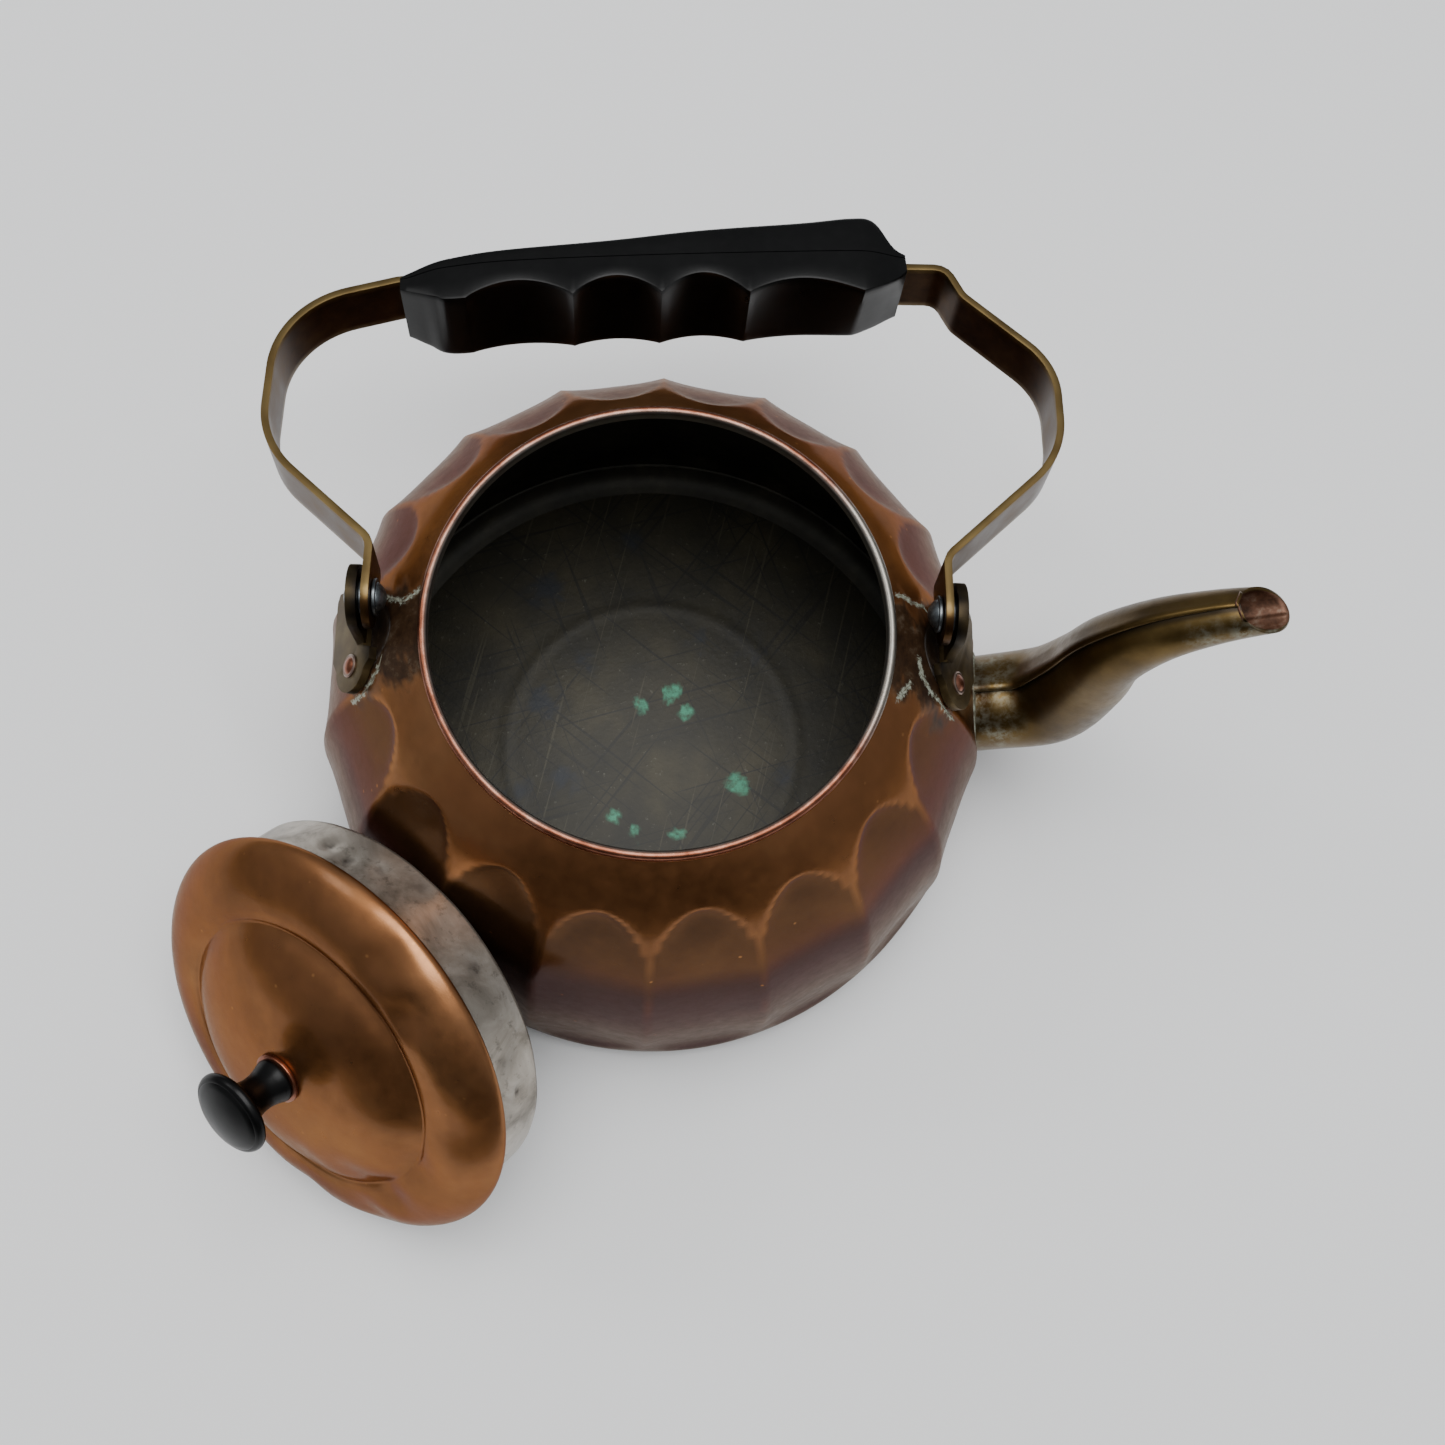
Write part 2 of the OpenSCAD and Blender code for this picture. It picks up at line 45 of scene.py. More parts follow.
eye = Vector((-4.17, -121.6, 458.21)) * MM
eye_yaw, eye_drop, eye_roll = -10.98, 73.99, 12.09
camera = bpy.data.objects.new("camera", bpy.data.cameras.new("camera"))
camera.data.sensor_width = 36
camera.data.lens = 39.74
camera.matrix_world = (Matrix.Translation(eye)
                       @ Matrix.Rotation(math.radians(eye_yaw), 4, "Z")
                       @ Matrix.Rotation(math.radians(90 - eye_drop), 4, "X")
                       @ Matrix.Rotation(math.radians(eye_roll), 4, "Z"))
bpy.context.scene.collection.objects.link(camera)
bpy.context.scene.camera = camera


def linear(colour):
    """Turns an sRGB hex colour into the linear one that a shader takes."""
    parts = [int(colour[i:i + 2], 16) / 255 for i in (1, 3, 5)]
    return [p / 12.92 if p <= 0.04045 else ((p + 0.055) / 1.055) ** 2.4 for p in parts] + [1]


def new_finish(name):
    """Starts a material with no nodes in it."""
    finish = bpy.data.materials.new(name)
    finish.use_nodes = True
    finish.node_tree.nodes.clear()
    return finish


def add_node(finish, kind, inputs=None, stops=None, **settings):
    """Adds a node. An input is a value, a hex colour, or (node, output) to link from."""
    node = finish.node_tree.nodes.new(kind)
    for name, value in settings.items():
        setattr(node, name, value)
    for i, (place, colour) in enumerate(stops or []):
        ramp = node.color_ramp.elements
        stop = ramp[i] if i < 2 else ramp.new(place)
        stop.position = place
        stop.color = linear(colour)
    for name, value in (inputs or {}).items():
        if isinstance(value, str):
            value = linear(value)
        if isinstance(value, tuple) and isinstance(value[0], bpy.types.Node):
            finish.node_tree.links.new(value[0].outputs[value[1]], node.inputs[name])
        else:
            node.inputs[name].default_value = value
    return node


def close_finish(finish, **inputs):
    """Ends a finish with the shader that all the solid pieces have."""
    names = {key.replace("_", " "): value for key, value in inputs.items()}
    shader = add_node(finish, "ShaderNodeBsdfPrincipled", names)
    add_node(finish, "ShaderNodeOutputMaterial", {"Surface": (shader, "BSDF")})


floor_r, floor_gap = 0.62, 0.0003
floor_shape = bmesh.new()
bmesh.ops.create_circle(floor_shape, cap_ends=True, segments=96, radius=floor_r)
bmesh.ops.translate(floor_shape, vec=(0, 0, -floor_gap), verts=floor_shape.verts)
floor_mesh = bpy.data.meshes.new("floor")
floor_shape.to_mesh(floor_mesh)
floor_shape.free()
floor = bpy.data.objects.new("floor", floor_mesh)
bpy.context.scene.collection.objects.link(floor)
# Uncoated card: an even pale ground that takes a soft shadow and has no shine
paper = new_finish("matt white paper")
close_finish(paper, Base_Color="#f4f4f4", Roughness=0.9, Specular_IOR_Level=0.1)
floor_mesh.materials.append(paper)

# The metal mirrors an even grey tent with one dim side, in front. The backdrop
# itself stays pale.
world = bpy.data.worlds.new("studio")
world.use_nodes = True
world.node_tree.nodes.clear()
around = add_node(world, "ShaderNodeTexCoord")
way = add_node(world, "ShaderNodeSeparateXYZ", {"Vector": (around, "Generated")})
tent = add_node(world, "ShaderNodeValToRGB", {"Fac": (way, "Z")},
                stops=[(0.0, "#7d7f82"), (0.35, "#96999c"), (0.7, "#b2b5b8"), (1.0, "#d2d5d8")])
front = add_node(world, "ShaderNodeMapRange",
                 {"Value": (way, "Y"), "From Min": -0.45, "From Max": -0.93,
                  "To Min": 0.0, "To Max": 1.0}, interpolation_type="SMOOTHSTEP")
dimmed = add_node(world, "ShaderNodeMix",
                  {0: (front, "Result"), 6: (tent, "Color"), 7: "#131313"}, data_type="RGBA")
path = add_node(world, "ShaderNodeLightPath")
backdrop = add_node(world, "ShaderNodeMix",
                    {0: (path, "Is Camera Ray"), 6: (dimmed, 2), 7: "#d9dadb"},
                    data_type="RGBA")
glow = add_node(world, "ShaderNodeBackground", {"Color": (backdrop, 2), "Strength": 1.0})
add_node(world, "ShaderNodeOutputWorld", {"Surface": (glow, "Background")})
bpy.context.scene.world = world

for name, place, size, power in (("overhead softbox", (0.1, 0.06, 1.9), 1.3, 34),
                                 ("side softbox", (-1.1, 0.5, 1.3), 0.5, 3)):
    lamp = bpy.data.objects.new(name, bpy.data.lights.new(name, "AREA"))
    lamp.data.shape = "SQUARE"
    lamp.data.size = size
    lamp.data.energy = power
    lamp.location = place
    lamp.rotation_euler = (-Vector(place)).to_track_quat("-Z", "Y").to_euler()
    bpy.context.scene.collection.objects.link(lamp)

# ---- Body shell ----
# Copper sheet, raised over a stake and fluted from the shoulder to the foot.
# Brown with age outside, tinned inside, and heat-stained where the lugs are soldered.

body_r, foot_r, mouth_out, shell_top, widest_z = 90, 84, 55.4, 107, 10
flutes, flute_depth, shoulder_power, sheet = 18, 1.9, 2.6, 1
arch_top, arch_drop, arch_soft = 100.5, 14, 2.2
toe_z, toe_curve, toe_soft = 12, 7, 5
hammer_wave = 0.22
shoulder_h = ((shell_top - widest_z)
              / (1 - (mouth_out / body_r) ** shoulder_power) ** (1 / shoulder_power))


def turned(profile, steps, loop=False):
    """Spins a profile of (radius, height) round the Z axis."""
    shape = bmesh.new()
    points = [shape.verts.new((r, 0, z)) for r, z in profile]
    edges = [shape.edges.new(pair) for pair in zip(points, points[1:])]
    if loop:
        edges.append(shape.edges.new((points[-1], points[0])))
    bmesh.ops.spin(shape, geom=points + edges, cent=(0, 0, 0), axis=(0, 0, 1),
                   angle=2 * math.pi, steps=steps, use_merge=True)
    bmesh.ops.remove_doubles(shape, verts=shape.verts, dist=0.002)
    bmesh.ops.recalc_face_normals(shape, faces=shape.faces)
    return shape


def face_outwards(shape, way):
    """Turns an open sheet's faces so that they look the way that a function of place says."""
    lean = sum(face.normal.dot(way(face.calc_center_median())) for face in shape.faces)
    if lean < 0:
        bmesh.ops.reverse_faces(shape, faces=shape.faces)


def make_piece(name, shape, finishes, body, stands_for=(), sharp=40):
    """Turns a shape drawn in millimetres into a smooth piece that moves with a body."""
    bmesh.ops.scale(shape, vec=(MM, MM, MM), verts=shape.verts)
    for face in shape.faces:
        face.smooth = True
    for edge in shape.edges:
        edge.smooth = not (edge.is_manifold and edge.calc_face_angle() > math.radians(sharp))
    mesh = bpy.data.meshes.new(name)
    shape.to_mesh(mesh)
    shape.free()
    for finish in finishes:
        mesh.materials.append(finish)
    piece = bpy.data.objects.new(name, mesh)
    bpy.context.scene.collection.objects.link(piece)
    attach(piece, body)
    if stands_for:
        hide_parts(*stands_for)
    return piece


def mark(piece, name, amount):
    """Writes how much of a stain or of wear each point has, from its place in millimetres."""
    layer = piece.data.attributes.new(name, "FLOAT", "POINT")
    layer.data.foreach_set("value", [amount(v.co / MM) for v in piece.data.vertices])


def between(low, high, value):
    """0 below low, 1 above high, and smooth from one to the other."""
    t = max(0, min(1, (value - low) / (high - low)))
    return t * t * (3 - 2 * t)


def ridge_radius(z):
    """The body's radius on the ridges between its flutes."""
    if z < widest_z:
        return foot_r + (body_r - foot_r) * math.sqrt(max(0, 1 - (1 - z / widest_z) ** 2))
    return body_r * (1 - ((z - widest_z) / shoulder_h) ** shoulder_power) ** (1 / shoulder_power)


def across_flute(angle):
    """Where an angle lies across its flute, from -1 on one ridge to 1 on the next."""
    return (angle / (2 * math.pi) * flutes + 0.5) % 1 * 2 - 1


def flute_hollow(angle, z):
    """How deep a flute lies below the ridges. Its arch starts with a clear edge."""
    u = across_flute(angle)
    number = math.floor(angle / (2 * math.pi) * flutes + 0.5) % flutes
    back = math.sin(angle)
    top = arch_top + 2.5 * back + 0.6 * math.sin(2.3 * number)
    arch = top - (arch_drop - 3.5 * back) * (1 - math.sqrt(max(0, 1 - u * u)))
    toe = toe_z + 1.2 * math.sin(1.7 * number) + toe_curve * u * u
    fall = 1 - math.exp(-max(0, arch - z) / arch_soft)
    rise = 1 - math.exp(-max(0, z - toe) / toe_soft)
    return flute_depth * (1 - abs(u) ** 2.4) * fall * rise


def body_radius(angle, z):
    """The body's radius with its flutes and the slow waves that the hammer left."""
    wave = hammer_wave * noise.noise(Vector((math.cos(angle), math.sin(angle), z / 75)) * 3.1)
    return ridge_radius(z) - flute_hollow(angle, z) + wave * between(105, 100, z)


heights = ([widest_z * (1 - math.cos(math.pi / 2 * i / 9)) for i in range(9)]
           + [widest_z + (shell_top - widest_z) * math.sin(math.pi / 2 * i / 92)
              for i in range(93)])
shell = turned([(ridge_radius(z), z) for z in heights], flutes * 16)
for point in shell.verts:
    angle = math.atan2(point.co.y, point.co.x)
    radius = body_radius(angle, point.co.z)
    point.co.x, point.co.y = radius * math.cos(angle), radius * math.sin(angle)
shell.normal_update()
face_outwards(shell, lambda p: Vector((p.x, p.y, 0)))

# The hole that the spout's root fits: its turn round the body, its slope, radius and height
root_turn, root_rise, root_r, root_z = math.radians(1.5), math.radians(18), 13, 45
hole_r, hole_reach = root_r - 0.6, 20
root_place = (Matrix.Rotation(root_turn, 4, "Z")
              @ Matrix.Translation((ridge_radius(root_z), 0, root_z))
              @ Matrix.Rotation(math.pi / 2 - root_rise, 4, "Y"))
into_root = root_place.inverted()
hole = [f for f in shell.faces
        if (into_root @ f.calc_center_median()).to_2d().length < root_r - 0.8
        and abs((into_root @ f.calc_center_median()).z) < hole_reach]
bmesh.ops.delete(shell, geom=hole, context="FACES")
for point in shell.verts:
    local = into_root @ point.co
    if point.is_boundary and abs(local.z) < hole_reach and local.to_2d().length < root_r + 4:
        ratio = hole_r / local.to_2d().length
        point.co = root_place @ Vector((local.x * ratio, local.y * ratio, local.z))


def per_metre(size):
    """A pattern's scale, from the size of its grain in millimetres."""
    return 1 / (size * MM)


def mottled(finish, size, detail, roughness, stops):
    """Starts a finish with a colour that varies in patches of a size in millimetres."""
    where = (add_node(finish, "ShaderNodeTexCoord"), "Object")
    patches = (add_node(finish, "ShaderNodeTexNoise",
                        {"Vector": where, "Scale": per_metre(size),
                         "Detail": detail, "Roughness": roughness}), "Fac")
    colour = (add_node(finish, "ShaderNodeValToRGB", {"Fac": patches}, stops=stops), "Color")
    return where, patches, colour


def stained(finish, attribute, below, colour):
    """Lays a colour over the one below, where the attribute of that name says how much."""
    amount = add_node(finish, "ShaderNodeAttribute", attribute_name=attribute)
    mixed = add_node(finish, "ShaderNodeMix", {0: (amount, "Fac"), 6: below, 7: colour},
                     data_type="RGBA")
    return mixed, 2


# Sheet copper, planished by hand and browned by years of heat and handling: warm soft
# highlights, painted shade low down and in front, darker tarnish in the hollows, sooty where it
# was heated for soldering
aged_copper = new_finish("aged copper sheet")
where, _, brown = mottled(aged_copper, 35.7, 4, 0.55,
                          [(0.3, "#7c5131"), (0.5, "#8f5f3b"), (0.72, "#9e6f49")])
# The dark mix is painted shade: low down and in front on the body, towards the floor on the lid.
# In the flutes' hollows it is tarnish
tarnish_and_shade_mix = stained(aged_copper, "tarnish", brown, "#261d11")
rubbed = stained(aged_copper, "worn", tarnish_and_shade_mix, "#8f6544")
specks = add_node(aged_copper, "ShaderNodeTexVoronoi",
                  {"Vector": where, "Scale": per_metre(7.7)})
pits = add_node(aged_copper, "ShaderNodeMapRange",
                {"Value": (specks, "Distance"), "From Min": 0.03, "From Max": 0.07,
                 "To Min": 0.7, "To Max": 0.0})
pitted = add_node(aged_copper, "ShaderNodeMix",
                  {0: (pits, "Result"), 6: rubbed, 7: "#b07a4a"}, data_type="RGBA")
# The stain can't be called heat, which is the renderer's own name for the heat of fire
heat = add_node(aged_copper, "ShaderNodeAttribute", attribute_name="scorch")
smoke = add_node(aged_copper, "ShaderNodeTexNoise",
                 {"Vector": where, "Scale": per_metre(3.85), "Detail": 5, "Roughness": 0.7})
soot = add_node(aged_copper, "ShaderNodeValToRGB", {"Fac": (smoke, "Fac")},
                stops=[(0.38, "#150e0a"), (0.55, "#2c1f14"), (0.72, "#51483c")])
sooty = add_node(aged_copper, "ShaderNodeMix",
                 {0: (heat, "Fac"), 6: (pitted, 2), 7: (soot, "Color")}, data_type="RGBA")
crust = add_node(aged_copper, "ShaderNodeAttribute", attribute_name="crust")
crumble = add_node(aged_copper, "ShaderNodeTexNoise",
                   {"Vector": where, "Scale": per_metre(1), "Detail": 5, "Roughness": 0.8})
crumbs = add_node(aged_copper, "ShaderNodeMath",
                  {0: (crust, "Fac"), 1: 0.42, 2: (crumble, "Fac")}, operation="MULTIPLY_ADD")
cover = add_node(aged_copper, "ShaderNodeMapRange",
                 {"Value": (crumbs, 0), "From Min": 0.74, "From Max": 0.86,
                  "To Min": 0.0, "To Max": 1.0})
crusted = add_node(aged_copper, "ShaderNodeMix",
                   {0: (cover, "Result"), 6: (sooty, 2), 7: "#9da293"}, data_type="RGBA")
bare = add_node(aged_copper, "ShaderNodeMath", {0: (heat, "Fac"), 1: (cover, "Result")},
                operation="MAXIMUM")
metal = add_node(aged_copper, "ShaderNodeMapRange",
                 {"Value": (bare, 0), "From Min": 0.0, "From Max": 1.0,
                  "To Min": 0.9, "To Max": 0.35})
dull = add_node(aged_copper, "ShaderNodeMapRange",
                {"Value": (smoke, "Fac"), "From Min": 0.3, "From Max": 0.7,
                 "To Min": 0.27, "To Max": 0.4})
duller = add_node(aged_copper, "ShaderNodeMath",
                  {0: (heat, "Fac"), 1: 0.28, 2: (dull, "Result")}, operation="MULTIPLY_ADD")
planish = add_node(aged_copper, "ShaderNodeTexNoise",
                   {"Vector": where, "Scale": per_metre(13.3), "Detail": 2})
ripple = add_node(aged_copper, "ShaderNodeBump",
                  {"Height": (planish, "Fac"), "Strength": 0.12, "Distance": 0.0015})
grit = add_node(aged_copper, "ShaderNodeBump",
                {"Height": (smoke, "Fac"), "Strength": 0.08, "Distance": 0.0004,
                 "Normal": (ripple, "Normal")})
close_finish(aged_copper, Base_Color=(crusted, 2), Metallic=(metal, "Result"),
             Roughness=(duller, 0), Normal=(grit, "Normal"), Specular_Tint="#b1987f",
             Coat_Weight=0.2, Coat_Roughness=0.14)

# Hot-tinned copper gone dark: a dim olive bloom that hardly mirrors
dark_tin = new_finish("old tinning inside")
_, _, tin_colour = mottled(dark_tin, 16.7, 6, 0.65,
                           [(0.3, "#1d1b15"), (0.55, "#343127"), (0.75, "#4b4638")])
close_finish(dark_tin, Base_Color=tin_colour, Metallic=0.35, Roughness=0.55)


def heat_stain(p):
    """Dark patch between each lug and the mouth, with an edge that wanders."""
    side = abs(p.x) - 60
    along = p.y + (2.5 if p.x > 0 else 2)
    wander = 0.45 * noise.noise(p * 0.2) + 0.25 * noise.noise(p * 0.7)
    reach = max(abs(side) / 13, abs(along) / 11.5) + wander
    return 0.95 * between(1.25, 0.75, reach) if p.z > 88 else 0


# Lines of (x, y) on the shoulder: two at the left lug, three at the right one
crust_runs = [[(-64, 8), (-62.3, 7), (-60.2, 5.7), (-58.6, 6.2), (-57, 7), (-56, 7.6)],
              [(-73, -14.5), (-70.3, -14.2), (-67.4, -12), (-65.4, -9)],
              [(56, 10.2), (57.8, 10.4), (60.2, 9.5), (63.4, 9.4)],
              [(61.7, -4.5), (62.6, -8), (64.9, -10.8), (68.7, -13), (73.2, -14.6)],
              [(56, -15.5), (57.4, -13.2), (59.4, -11)]]
crust_spots = [Vector(a).lerp(Vector(b), k / 4)
               for run in crust_runs for a, b in zip(run, run[1:]) for k in range(5)]


def crust_lines(p):
    """Pale crust along the solder's edges, from the mouth's edge to the pins and the feet."""
    if p.z < 86:
        return 0
    return between(1.6, 0.1, min((spot - p.to_2d()).length for spot in crust_spots))


def ridge_wear(p):
    """Faint rubbing along the ridges, on the widest part of the body."""
    angle = math.atan2(p.y, p.x)
    edge = 1 - abs(across_flute(angle))
    on_ridge = between(0.09, 0.0, edge) * between(95, 88, p.z) * between(14, 26, p.z)
    return on_ridge * (0.08 + 0.2 * noise.noise(p * 0.09))


def body_tarnish_and_shade(p):
    """Painted shade towards the foot, most of all in front, and darker tarnish in the flutes'
    hollows.
    """
    angle = math.atan2(p.y, p.x)
    low_down = between(97, 68, p.z) * between(0.9, -0.6, math.sin(angle))
    return 0.9 * max(low_down, 0.75 * between(0, 0.4, flute_hollow(angle, p.z)))


def give_wall(piece, thickness):
    """Thickens an open sheet inwards. The inner face takes the piece's second finish."""
    wall = piece.modifiers.new("sheet", "SOLIDIFY")
    wall.thickness = thickness * MM
    wall.offset = -1
    wall.material_offset = 1
    return wall


body_piece = make_piece("fluted_body", shell, [aged_copper, dark_tin], "kettle",
                        ["body_shell"], sharp=60)
mark(body_piece, "scorch", heat_stain)
mark(body_piece, "tarnish", body_tarnish_and_shade)
mark(body_piece, "worn", ridge_wear)
mark(body_piece, "crust", crust_lines)
give_wall(body_piece, sheet).use_even_offset = True

# ---- Base plate ----
# A flat tinned disc with a stiffening bead, let into the foot and soldered. The
# inside has gone olive brown, with scratches, blue-black bloom and green salts.

plate_r, plate_t, bead_r, bead_h = 82.8, 1.2, 43, 0.15


def plate_bead(r):
    """Height of the stiffening bead pressed into the plate."""
    return bead_h * between(3, 0, abs(r - bead_r))


rings = [plate_r * i / 74 for i in range(75)]
plate = turned([(r, plate_t + plate_bead(r)) for r in rings]
               + [(r, plate_bead(r)) for r in reversed(rings)], 220)
# Each spot: x, y and radius
green_spots = ((5.6, 16.2, 3.3), (4.5, 14, 2), (-3, 11.9, 2.3), (10.2, 10.1, 2.8),
               (25.3, -11.9, 3.4), (23.5, -10, 2), (-10.9, -21.8, 2.4), (-5, -26.1, 2),
               (8.2, -27.3, 1.8), (-3, -30, 1.6))
blue_spots = ((-33.6, 12.6, 7), (-38.2, -15, 6), (-33.5, 47.4, 7), (-8.2, 62.9, 5),
              (-26.7, -11.7, 6), (13.7, 32.9, 4), (-20, 25, 4), (30, 30, 5), (38, -8, 4))


def spots_at(p, spots, soft, ragged):
    """Stains on the plate's upper face, with soft and ragged edges."""
    if p.z < plate_t - 0.1:
        return 0
    shake = ragged * (noise.noise(p * 0.35) + 0.6 * noise.noise(p * 0.9))
    return max(between(0, soft, r - math.dist((p.x, p.y), (x, y)) + shake) for x, y, r in spots)


# Hot-tinned copper, scoured and stained by water: a dull olive floor crossed by dark
# scratches, with a few spots of blue bloom and bright green salts
scoured_tin = new_finish("scoured old tinning")
where, _, olive = mottled(scoured_tin, 20.8, 7, 0.62,
                          [(0.3, "#17150c"), (0.52, "#292516"), (0.72, "#3a3421")])
grains = add_node(scoured_tin, "ShaderNodeTexNoise",
                  {"Vector": where, "Scale": per_metre(1.61), "Detail": 3, "Roughness": 0.7})
crumbs = add_node(scoured_tin, "ShaderNodeMapRange",
                  {"Value": (grains, "Fac"), "From Min": 0.64, "From Max": 0.74,
                   "To Min": 0.0, "To Max": 0.3})
dusty = add_node(scoured_tin, "ShaderNodeMix",
                 {0: (crumbs, "Result"), 6: olive, 7: "#7b7a6c"}, data_type="RGBA")
layer = (dusty, 2)
# Scratches are about 0.3 mm wide and a few centimetres long, and cross at all angles
for turn, shade, seed in ((0.3, "#16140d", 0.10), (0.95, "#15130c", 0.23), (1.35, "#3d392a", 0.31),
                          (1.95, "#17150e", 0.47), (2.5, "#16140d", 0.52)):
    laid = add_node(scoured_tin, "ShaderNodeMapping",
                    {"Vector": where, "Rotation": (0, 0, turn),
                     "Location": (seed, seed * 0.7, 0), "Scale": (0.06, 0.0012, 1)},
                    vector_type="TEXTURE")
    streaks = add_node(scoured_tin, "ShaderNodeTexNoise",
                       {"Vector": (laid, "Vector"), "Scale": 1, "Detail": 0, "Distortion": 0.35})
    line = add_node(scoured_tin, "ShaderNodeMapRange",
                    {"Value": (streaks, "Fac"), "From Min": 0.71, "From Max": 0.76,
                     "To Min": 0.0, "To Max": 0.8})
    scored = add_node(scoured_tin, "ShaderNodeMix",
                      {0: (line, "Result"), 6: layer, 7: shade}, data_type="RGBA")
    layer = (scored, 2)
bloomed = stained(scoured_tin, "blue_bloom", layer, "#191f28")
green = add_node(scoured_tin, "ShaderNodeAttribute", attribute_name="green_salts")
broken = add_node(scoured_tin, "ShaderNodeMath",
                  {0: (grains, "Fac"), 1: 2.6, 2: -0.6}, operation="MULTIPLY_ADD",
                  use_clamp=True)
salts = add_node(scoured_tin, "ShaderNodeMath",
                 {0: (green, "Fac"), 1: (broken, 0)}, operation="MULTIPLY")
salted = add_node(scoured_tin, "ShaderNodeMix",
                  {0: (salts, 0), 6: bloomed, 7: "#3f8a6c"}, data_type="RGBA")
tooth = add_node(scoured_tin, "ShaderNodeBump",
                 {"Height": (grains, "Fac"), "Strength": 0.25, "Distance": 0.0003})
close_finish(scoured_tin, Base_Color=(salted, 2), Metallic=0.25, Roughness=0.5,
             Normal=(tooth, "Normal"))
plate_piece = make_piece("flat_base", plate, [scoured_tin], "kettle",
                         ["base_plate"], sharp=50)
mark(plate_piece, "green_salts", lambda p: spots_at(p, green_spots, 1.2, 1.6))
mark(plate_piece, "blue_bloom", lambda p: 0.75 * spots_at(p, blue_spots, 6, 4))

foot_fillet = turned([(79.5, plate_t - 0.1), (82, plate_t + 0.25), (84.2, plate_t + 0.9),
                      (86, plate_t + 2.4), (87.3, plate_t + 4.6), (87.9, plate_t + 4.8),
                      (83.6, 0.3), (82.4, 0.25)], 144, loop=True)
make_piece("foot_solder", foot_fillet, [dark_tin], "kettle")

# ---- Mouth ring ----
# The copper edge rolled over a wire into a round bead. Wiping has kept it pink
# and bright, and on the spout side tin has run over it.

ring_in, ring_out, ring_low, ring_top = 53.2, 55.4, 106.9, 110
bead_mid, bead_half = (ring_in + ring_out) / 2, (ring_out - ring_in) / 2
ring_profile = ([(ring_in, ring_low), (ring_in, 107.8)]
                + [(bead_mid - bead_half * math.cos(math.pi * i / 10),
                    ring_top - bead_half + bead_half * math.sin(math.pi * i / 10))
                   for i in range(11)]
                + [(ring_out, 108.1), (ring_out - 0.25, 107.6), (ring_out - 0.1, ring_low)])
ring = turned(ring_profile, 256, loop=True)
for point in ring.verts:
    angle = math.atan2(point.co.y, point.co.x)
    point.co.z -= 0.12 * (1 + noise.noise(Vector((math.cos(angle), math.sin(angle), 0)) * 2.2))
# Copper rubbed by the lid and by cloths: a bright pink line, grey where tin has run over
pink_copper = new_finish("copper wiped bright")
_, smears, pink = mottled(pink_copper, 5.56, 5, 0.6,
                          [(0.3, "#683c2b"), (0.55, "#925a43"), (0.75, "#ab745c")])
tin = add_node(pink_copper, "ShaderNodeAttribute", attribute_name="tin")
tin_edge = add_node(pink_copper, "ShaderNodeMapRange",
                    {"Value": smears, "From Min": 0.3, "From Max": 0.7,
                     "To Min": -0.25, "To Max": 0.25})
tin_cover = add_node(pink_copper, "ShaderNodeMath",
                     {0: (tin, "Fac"), 1: (tin_edge, "Result")}, operation="ADD", use_clamp=True)
run_over = add_node(pink_copper, "ShaderNodeMix",
                    {0: (tin_cover, 0), 6: pink, 7: "#8e8a82"}, data_type="RGBA")
nicks = add_node(pink_copper, "ShaderNodeBump",
                 {"Height": smears, "Strength": 0.15, "Distance": 0.0004})
close_finish(pink_copper, Base_Color=(run_over, 2), Metallic=0.95, Roughness=0.34,
             Normal=(nicks, "Normal"))
ring_piece = make_piece("mouth_bead", ring, [pink_copper], "kettle",
                        ["mouth_ring"], sharp=70)


def tin_on_ring(p):
    """Tin inside the ring, and over the whole of it on the spout's side."""
    inside = between(bead_mid + 0.2, ring_in + 0.1, math.hypot(p.x, p.y))
    spout_side = between(0.72, 0.96, math.cos(math.atan2(p.y, p.x) - 0.1))
    return max(spout_side, inside * 0.8)


mark(ring_piece, "tin", tin_on_ring)

# ---- Spout ----
# Two brass halves, pressed and lapped along the top and bottom, sweated into the
# wall. The mouth is cut on a slope, and shows reddish inside.

spout_turn = Matrix.Rotation(root_turn, 4, "Z")
root_in, root_out, spout_sheet = 5, 4, 0.9
root_start = (ridge_radius(root_z) - root_in * math.cos(root_rise),
              root_z - root_in * math.sin(root_rise))
root_end = (ridge_radius(root_z) + root_out * math.cos(root_rise),
            root_z + root_out * math.sin(root_rise))
spout_line = [root_start, root_end, (106, 54), (110.5, 74), (112, 92), (119, 107), (129, 116),
              (138.5, 121)]
spout_radii = [13, 13, 13.2, 11.2, 9.2, 7.6, 6.4, 5.6]
beak, beak_rings = 5, 10


def smooth_run(values, cuts):
    """Catmull-Rom run through a list of vectors or numbers."""
    run = []
    last = len(values) - 1
    for i in range(last):
        a, b, c, d = (values[max(0, i - 1)], values[i], values[i + 1], values[min(last, i + 2)])
        for k in range(cuts):
            t = k / cuts
            run.append(0.5 * (2 * b + (c - a) * t + (2 * a - 5 * b + 4 * c - d) * t * t
                              + (3 * b - a - 3 * c + d) * t ** 3))
    return run + [values[last]]


def swept(section, places, loop=False):
    """Extrudes a section of (x, y) points through a list of placements."""
    shape = bmesh.new()
    points = [shape.verts.new((x, y, 0)) for x, y in section]
    edges = [shape.edges.new(pair) for pair in zip(points, points[1:])]
    if loop:
        edges.append(shape.edges.new((points[-1], points[0])))
    bmesh.ops.transform(shape, matrix=places[0], verts=points)
    for before, after in zip(places, places[1:]):
        made = bmesh.ops.extrude_edge_only(shape, edges=edges)["geom"]
        points = [g for g in made if isinstance(g, bmesh.types.BMVert)]
        fresh = set(points)
        edges = [e for e in made if isinstance(e, bmesh.types.BMEdge)
                 and e.verts[0] in fresh and e.verts[1] in fresh]
        bmesh.ops.transform(shape, matrix=after @ before.inverted(), verts=points)
    bmesh.ops.recalc_face_normals(shape, faces=shape.faces)
    return shape


